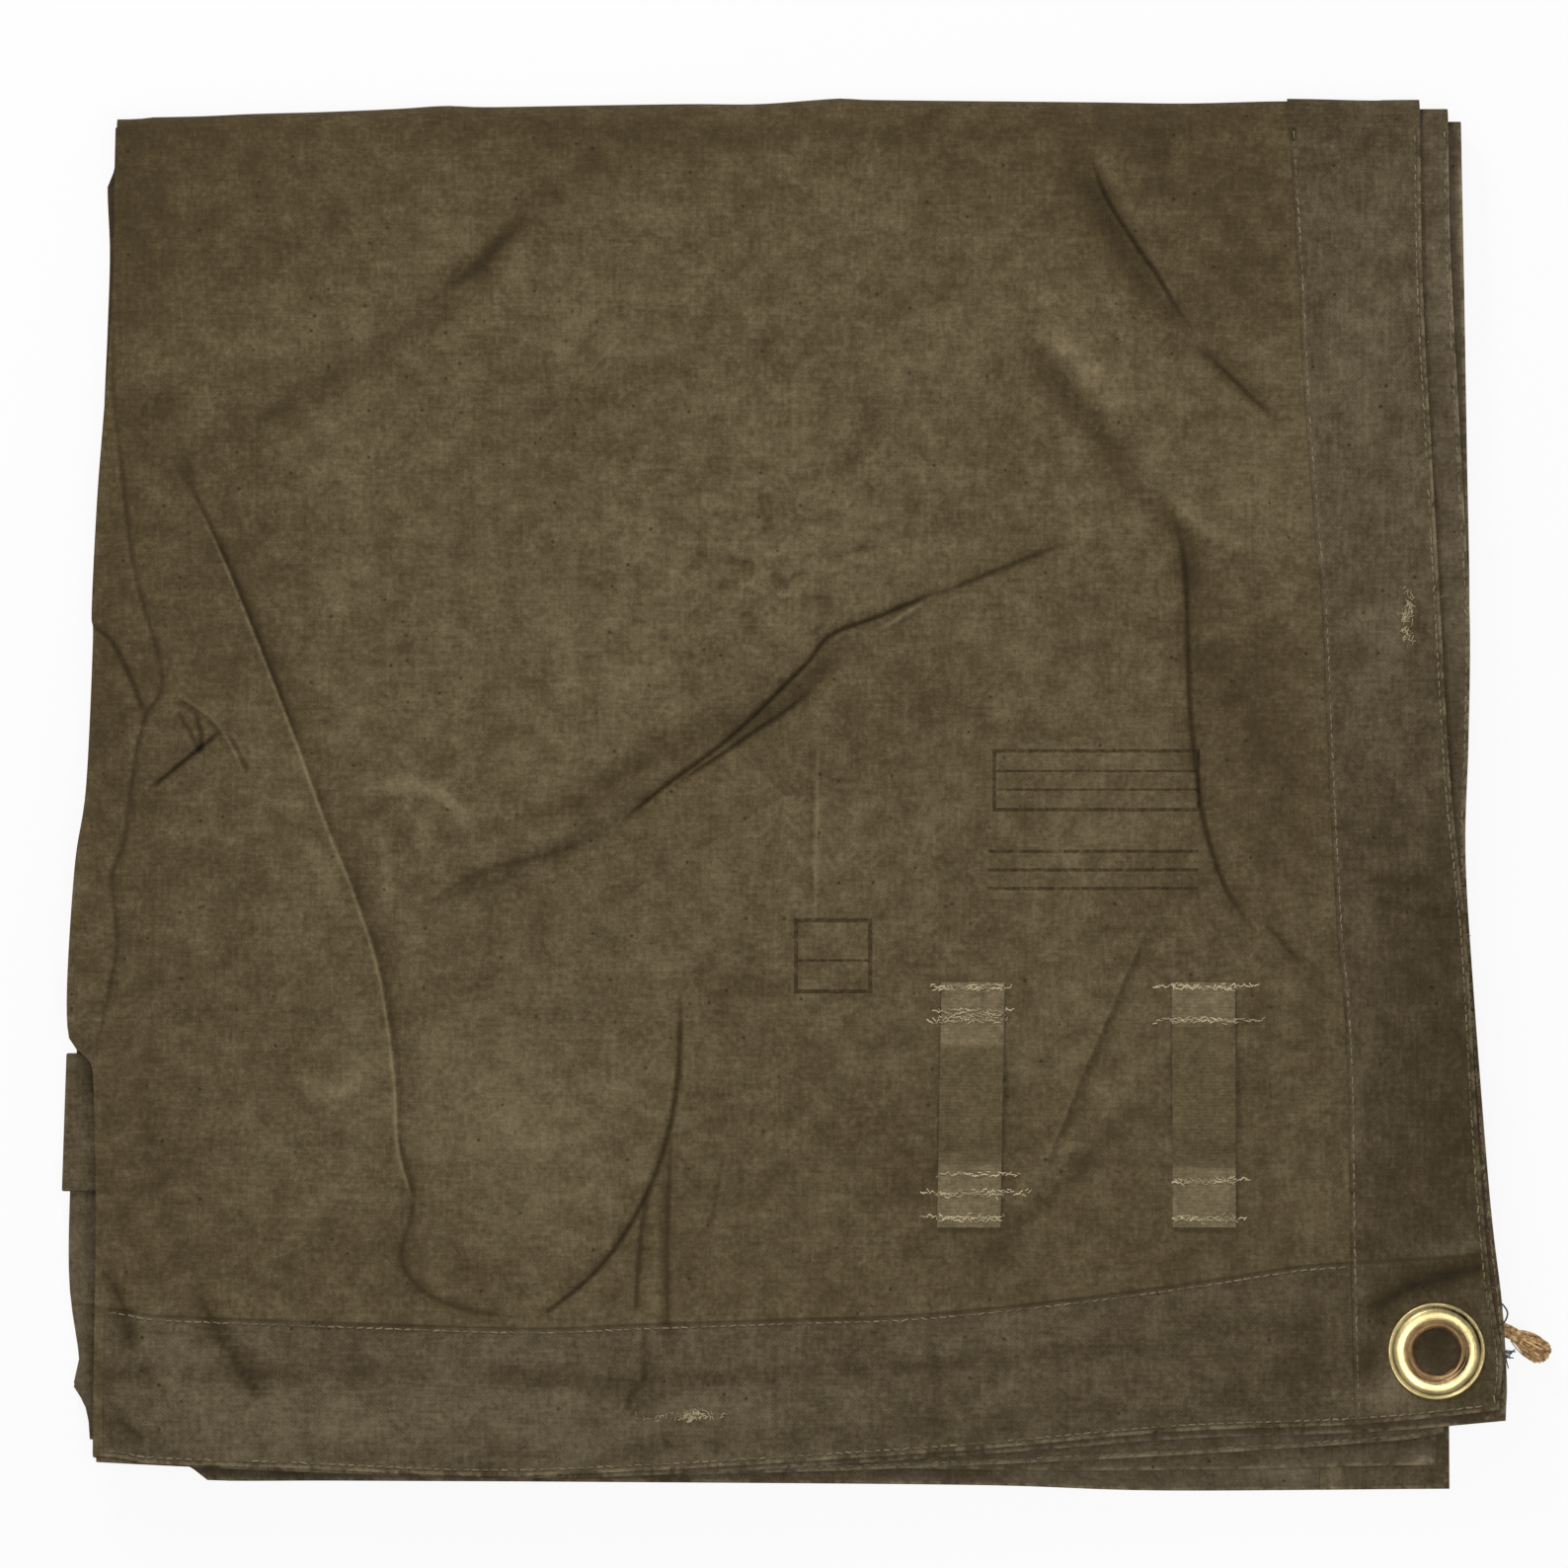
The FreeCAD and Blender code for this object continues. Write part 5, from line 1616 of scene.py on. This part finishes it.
@dataclass
class WornTacks:
    """Broken thread where something was once sewn to the bands."""

    finishes: Finishes

    def build(self) -> bpy.types.Object:
        """Short loose ends of thread in two clusters."""
        dice = np.random.default_rng(8)
        height = high_corner("mouth_band").z + 0.14 * MM
        clusters = (((-34, -200.8), (12, 1.4), 34, 0.0), ((-31, -200.4), (5, 1.8), 26, 0.3),
                    ((201.6, 57), (1.6, 11), 30, 1.5), ((201, 60), (2.2, 4), 14, 1.1))
        lines = []
        for centre, spread, count, way in clusters:
            for _ in range(count):
                middle = dice.normal(centre, np.array(spread) * 0.5)
                turn = way + dice.normal(0, 0.5)
                half = dice.uniform(0.5, 1.5) * np.array([math.cos(turn), math.sin(turn)])
                ends = np.array([middle - half, middle + half]) * MM
                lines.append(line_over(ends, height, RELIEF.height))
        sewer = Stitching("worn_tacks", "worn_tack_stitches", "upper_half", pitch=0.8, length=1.3,
                          radius=0.15, jitter=0.9, seed=5, scatter=0.4)
        return sewer.sew(lines, self.finishes.worn_thread)


@dataclass
class DrawRope:
    """The laid rope between the halves, with its frayed end."""

    finishes: Finishes
    diameter: float = 4.8
    strand_share: float = 0.54
    lay_length: float = 26.0
    strands: int = 3
    fibres: int = 230
    root_radius: float = 1.9
    tuft_radius: float = 3.7

    def route(self) -> list[tuple[float, float, float]]:
        """The rope's way, in millimetres, from its tab to its free end."""
        z = (low_corner("front_panel_upper").z + high_corner("front_panel_lower").z) / 2 / MM
        return [(149, -106, z), (150, -76, z), (146, -34, z), (151, 12, z), (147, 56, z), (150, 92, z),
                (164, 113, z), (188, 114.5, z), (205, 96, z), (208, 58, z), (202, 14, z), (206, -32, z),
                (201, -78, z), (203, -116, z), (209, -144, z), (221, -163, z - 0.3), (233.5, -173.5, z - 1.4),
                (247, -181.3, z - 3.6)]

    def centre_line(self) -> np.ndarray:
        """Points along the rope's smooth line, close together."""
        curve = bpy.data.curves.new("rope_line", "CURVE")
        curve.dimensions = "3D"
        curve.resolution_u = 24
        spline = curve.splines.new("NURBS")
        points = self.route()
        spline.points.add(len(points) - 1)
        for point, place in zip(spline.points, points):
            point.co = (*(part * MM for part in place), 1)
        spline.order_u = 3
        spline.use_endpoint_u = True
        holder = bpy.data.objects.new("rope_line", curve)
        bpy.context.collection.objects.link(holder)
        mesh = bpy.data.meshes.new_from_object(holder.evaluated_get(bpy.context.evaluated_depsgraph_get()))
        line = np.array([v.co[:] for v in mesh.vertices])
        bpy.data.objects.remove(holder)
        bpy.data.meshes.remove(mesh)
        return line

    def evenly(self, line: np.ndarray, step: float) -> np.ndarray:
        """The line's points at even steps, in metres."""
        place = distances(line)
        at = np.linspace(0, place[-1], max(3, int(place[-1] / step)))
        return np.column_stack([np.interp(at, place, line[:, k]) for k in range(3)])

    def strand(self, name: str, points: np.ndarray, radius: float, rings: int) -> bpy.types.Object:
        """A round strand along points."""
        curve = bpy.data.curves.new(name, "CURVE")
        curve.dimensions = "3D"
        curve.bevel_depth = radius
        curve.bevel_resolution = rings
        curve.use_fill_caps = True
        spline = curve.splines.new("POLY")
        spline.points.add(len(points) - 1)
        spline.points.foreach_set("co", np.column_stack([points, np.ones(len(points))]).ravel())
        holder = bpy.data.objects.new(name, curve)
        bpy.context.collection.objects.link(holder)
        Bench.pick(holder)
        bpy.ops.object.convert(target="MESH")
        return Bench.take(name)

    def build(self) -> list[bpy.types.Object]:
        """The rope and its loose fibres."""
        line = self.evenly(self.centre_line(), 1.6 * MM)
        way = np.gradient(line, axis=0)
        way /= np.linalg.norm(way, axis=1)[:, None]
        side = np.cross(way, (0, 0, 1))
        side /= np.linalg.norm(side, axis=1)[:, None]
        up = np.cross(side, way)
        place = distances(line)
        radius = self.diameter / 2 * self.strand_share * MM
        orbit = self.diameter / 2 * MM - radius
        strands = []
        for k in range(self.strands):
            angle = (place / (self.lay_length * MM) + k / self.strands) * 2 * math.pi
            centre = line + orbit * (np.cos(angle)[:, None] * side + np.sin(angle)[:, None] * up)
            strands.append(self.strand(f"strand_{k}", centre, radius, 3))
        rope = Bench.join("laid_rope", strands)
        Bench.smooth(rope)
        dress(rope, self.finishes.rope, "lower_half", "draw_rope")
        frayed = self.fray(line[-1], way[-1], side[-1], up[-1])
        log.info("rope: %.3f m", place[-1])
        return [rope, frayed, self.loose_threads(), self.frayed_edge()]

    def fray(self, end: np.ndarray, way: np.ndarray, side: np.ndarray, up: np.ndarray) -> bpy.types.Object:
        """Loose fibres round the rope's cut end."""
        dice = np.random.default_rng(2)
        fibres = []
        for k in range(self.fibres):
            angle, ring = dice.uniform(0, 2 * math.pi), math.sqrt(dice.uniform(0, 1))
            out = math.cos(angle) * side + math.sin(angle) * up
            back = dice.uniform(4, 13)
            start = end - way * back * MM + out * ring * self.root_radius * MM
            onward = dice.uniform(0.2, 1.3) - 2.4 * ring ** 3
            aside = ring * self.tuft_radius + dice.normal(0, 0.15)
            finish = end + way * onward * MM + out * aside * MM
            bend = dice.normal(0, 0.35, 3) * MM
            t = np.linspace(0, 1, 5)[:, None]
            points = start + (finish - start) * t + (bend + out * ring * 0.9 * MM) * np.sin(t * math.pi)
            fibres.append(self.strand(f"fibre_{k}", points, dice.uniform(0.16, 0.36) * MM, 0))
        return dress(Bench.join("rope_fray", fibres), self.finishes.rope, "lower_half", None)

    def loose_threads(self) -> bpy.types.Object:
        """Two broken ends of thread at the edge of the cloth beside the rope."""
        height = (low_corner("front_panel_upper").z / MM - 0.6) * MM
        ways = [((228.6, -163.4), (232.0, -164.2), (234.4, -167.4), (233.4, -170.6), (230.6, -172.8),
                 (228.4, -172.2))]
        dice = np.random.default_rng(6)
        for _ in range(9):
            tip = (236.0 + dice.normal(0, 0.8), -182.6 + dice.normal(0, 1.8))
            ways.append(((230.4, -181.6), (233.2, -181.2 + dice.normal(0, 0.7)), tip))
        threads = []
        for k, way in enumerate(ways):
            points = line_over(smooth_line(way, 6), height)
            threads.append(self.strand(f"thread_{k}", points, (0.28 if k == 0 else 0.2) * MM, 0))
        loose = Bench.join("loose_threads", threads)
        return dress(loose, self.finishes.dark_thread, "upper_half", None)

    def frayed_edge(self) -> bpy.types.Object:
        """Short ends of yarn that stand out along the mouth's edge."""
        dice = np.random.default_rng(12)
        height = high_corner("front_panel_upper").z
        threads = []
        worn = [-26, -29, -33, -118, -121, -160, -196] * 3 + list(range(-190, 210, 16))
        for k, centre in enumerate(worn):
            y = (centre + dice.normal(0, 1.6)) * MM
            x = MOUTH_EDGE.x_at(np.array([y]))[0] - 0.3 * MM
            out, up = dice.uniform(0.8, 1.9) * MM, dice.normal(0, 1.0) * MM
            plan = np.array([(x, y), (x + 0.6 * out, y + 0.3 * up), (x + out, y + up)])
            radius = dice.uniform(0.10, 0.18) * MM
            threads.append(self.strand(f"yarn_{k}", line_over(plan, height), radius, 0))
        yarn = Bench.join("frayed_edge_yarn", threads)
        return dress(yarn, self.finishes.seam_thread, "upper_half", None)


@dataclass
class SewnTabs:
    """The canvas tab at the left edge and the one that holds the rope."""

    finishes: Finishes

    def side_tab(self) -> bpy.types.Object:
        """The doubled tab at the left."""
        low, high = low_corner("side_tab"), high_corner("side_tab")
        tab, share = Bench.grid("side_tab_cloth", 24, 26)
        x = low.x + share[:, 0] * (high.x - low.x)
        y = low.y + share[:, 1] * (high.y - low.y)
        x = x + 1.5 * MM * (share[:, 1] - 0.1) * (1 - share[:, 0])
        places = np.column_stack([x, y, np.full(len(x), high.z)])
        Bench.move(tab, places)
        self.plain(tab, places * np.array([1, 1, 0]), 0.12 + 0.05 * np.sin(share[:, 0] * 5))
        Bench.thicken(tab, high.z - low.z)
        Bench.modify(tab, "BEVEL", width=0.6 * MM, segments=3)
        Bench.smooth(tab)
        return dress(tab, self.finishes.band, "lower_half", "side_tab")

    def rope_tab(self) -> bpy.types.Object:
        """The tab round the rope's fixed end: the CAD solid with softened edges."""
        low, high = low_corner("rope_tab"), high_corner("rope_tab")
        centre, half = (low + high) / 2, (high - low) / 2
        Bench.clear()
        bpy.ops.mesh.primitive_cube_add(size=1, location=centre, scale=high - low)
        tab = Bench.take("rope_tab_cloth")
        faces = np.ones(len(tab.data.polygons), bool)
        Bench.edit_faces(tab, faces, lambda: bpy.ops.mesh.subdivide(number_cuts=5))
        places = Bench.places(tab)
        pinch = 1 - 0.55 * smooth_step(np.abs((places[:, 0] - centre.x) / half.x), 0.45, 1.0)
        places[:, 2] = low.z + (places[:, 2] - low.z) * pinch
        Bench.move(tab, places)
        Bench.modify(tab, "BEVEL", width=0.4 * MM, segments=2, limit_method="ANGLE")
        places = Bench.places(tab)
        self.plain(tab, places, np.zeros(len(places)))
        Bench.smooth(tab)
        return dress(tab, self.finishes.band, "lower_half", "rope_tab")

    def plain(self, tab: bpy.types.Object, cloth: np.ndarray, tone: np.ndarray) -> None:
        """Notes a tab's weave and tone, without marks or rims."""
        Bench.note(tab, cloth=cloth, tone=tone, mark=np.zeros(len(tone)),
                   rim=np.full((len(tone), 3), FAR_INSIDE))

    def build(self) -> list[bpy.types.Object]:
        """Both tabs and the stitches of the left one."""
        low, high = low_corner("side_tab_seam"), high_corner("side_tab_seam")
        x, z = (low.x + high.x) / 2, low.z + 0.1 * MM
        line = np.array([(x, y, z) for y in np.linspace(low.y, high.y, 12)])
        sewer = Stitching("side_tab_stitches", "side_tab_seam", "lower_half")
        return [self.side_tab(), self.rope_tab(), sewer.sew([line], self.finishes.seam_thread)]


@dataclass
class Studio:
    """The floor, the lamps and the camera."""

    camera_height: float = 6.0
    view_width: float = 0.5072
    view_centre: tuple[float, float] = (-0.0001, 0.0038)
    sensor: float = 36.0
    floor_size: float = 8.0
    white_share: float = 0.9
    sky: float = 0.30

    def floor(self) -> bpy.types.Object:
        """A white floor that keeps a soft shadow."""
        Bench.clear()
        bpy.ops.mesh.primitive_plane_add(size=self.floor_size)
        ground = Bench.take("floor")
        shader = Shader("white_floor", roughness=1.0)
        shader.feed(shader.surface, "Base Color", (0.86, 0.86, 0.86, 1))
        paths = shader.node("ShaderNodeLightPath", {}, {})
        seen = Wire(shader, paths.outputs["Is Camera Ray"])
        for kind in ("Is Glossy Ray", "Is Transmission Ray"):
            seen = seen.apply("MAXIMUM", Wire(shader, paths.outputs[kind]))
        white = shader.wire("ShaderNodeEmission", {}, {"Color": (1, 1, 1, 1), "Strength": 1.0})
        plain = Wire(shader, shader.surface.outputs[0])
        mixed = shader.wire("ShaderNodeMixShader", {}, {0: seen * self.white_share, 1: plain, 2: white})
        shader.feed(shader.tree.nodes["Material Output"], "Surface", mixed)
        ground.data.materials.append(shader.material)
        return ground

    def lamp(self, name: str, place: tuple[float, float, float], size: float, power: float) -> None:
        """An area lamp that faces the packet."""
        data = bpy.data.lights.new(name, "AREA")
        data.shape = "DISK"
        data.size = size
        data.energy = power
        lamp = bpy.data.objects.new(name, data)
        bpy.context.collection.objects.link(lamp)
        lamp.location = place
        lamp.rotation_mode = "QUATERNION"
        lamp.rotation_quaternion = (-Vector(place)).to_track_quat("-Z", "Y")

    def build(self) -> None:
        """Sets up everything that isn't the sack."""
        self.floor()
        self.lamp("key", (-0.5, 1.25, 0.95), 0.5, 13)
        self.lamp("overhead", (0.2, -0.35, 2.3), 1.3, 22)
        world = bpy.data.worlds.new("studio")
        world.use_nodes = True
        background = world.node_tree.nodes["Background"]
        background.inputs["Color"].default_value = (1, 1, 1, 1)
        background.inputs["Strength"].default_value = self.sky
        bpy.context.scene.world = world
        bpy.context.scene.view_settings.view_transform = "Standard"
        data = bpy.data.cameras.new("camera")
        data.sensor_width = self.sensor
        data.lens = self.sensor * (self.camera_height - CAD_BOX[1][2]) / self.view_width
        camera = bpy.data.objects.new("camera", data)
        bpy.context.collection.objects.link(camera)
        camera.location = (*self.view_centre, self.camera_height)
        bpy.context.scene.camera = camera


def dress_eyelet(finishes: Finishes) -> None:
    """Gives the two brass pieces their finish."""
    for node in ("corner_eyelet", "eyelet_washer"):
        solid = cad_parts[node]
        solid.data.materials.clear()
        solid.data.materials.append(finishes.brass)
        solid.data.polygons.foreach_set("material_index", [0] * len(solid.data.polygons))


def main() -> None:
    """Builds the looks of the sack."""
    logging.basicConfig(level=logging.INFO, format="%(message)s")
    Studio().build()
    finishes = Finishes()
    rope = DrawRope(finishes).build()
    packet = Packet(finishes)
    front_upper, back_upper, front_lower, back_lower = packet.panels()
    bands = packet.bands()
    packet.seams()
    TopFold(finishes).build()
    KeeperLoops(finishes).build()
    WornTacks(finishes).build()
    SewnTabs(finishes).build()
    dress_eyelet(finishes)
    log.info("pieces: %d ropes, %d bands", len(rope), len(bands))


if __name__ == "__main__":
    main()
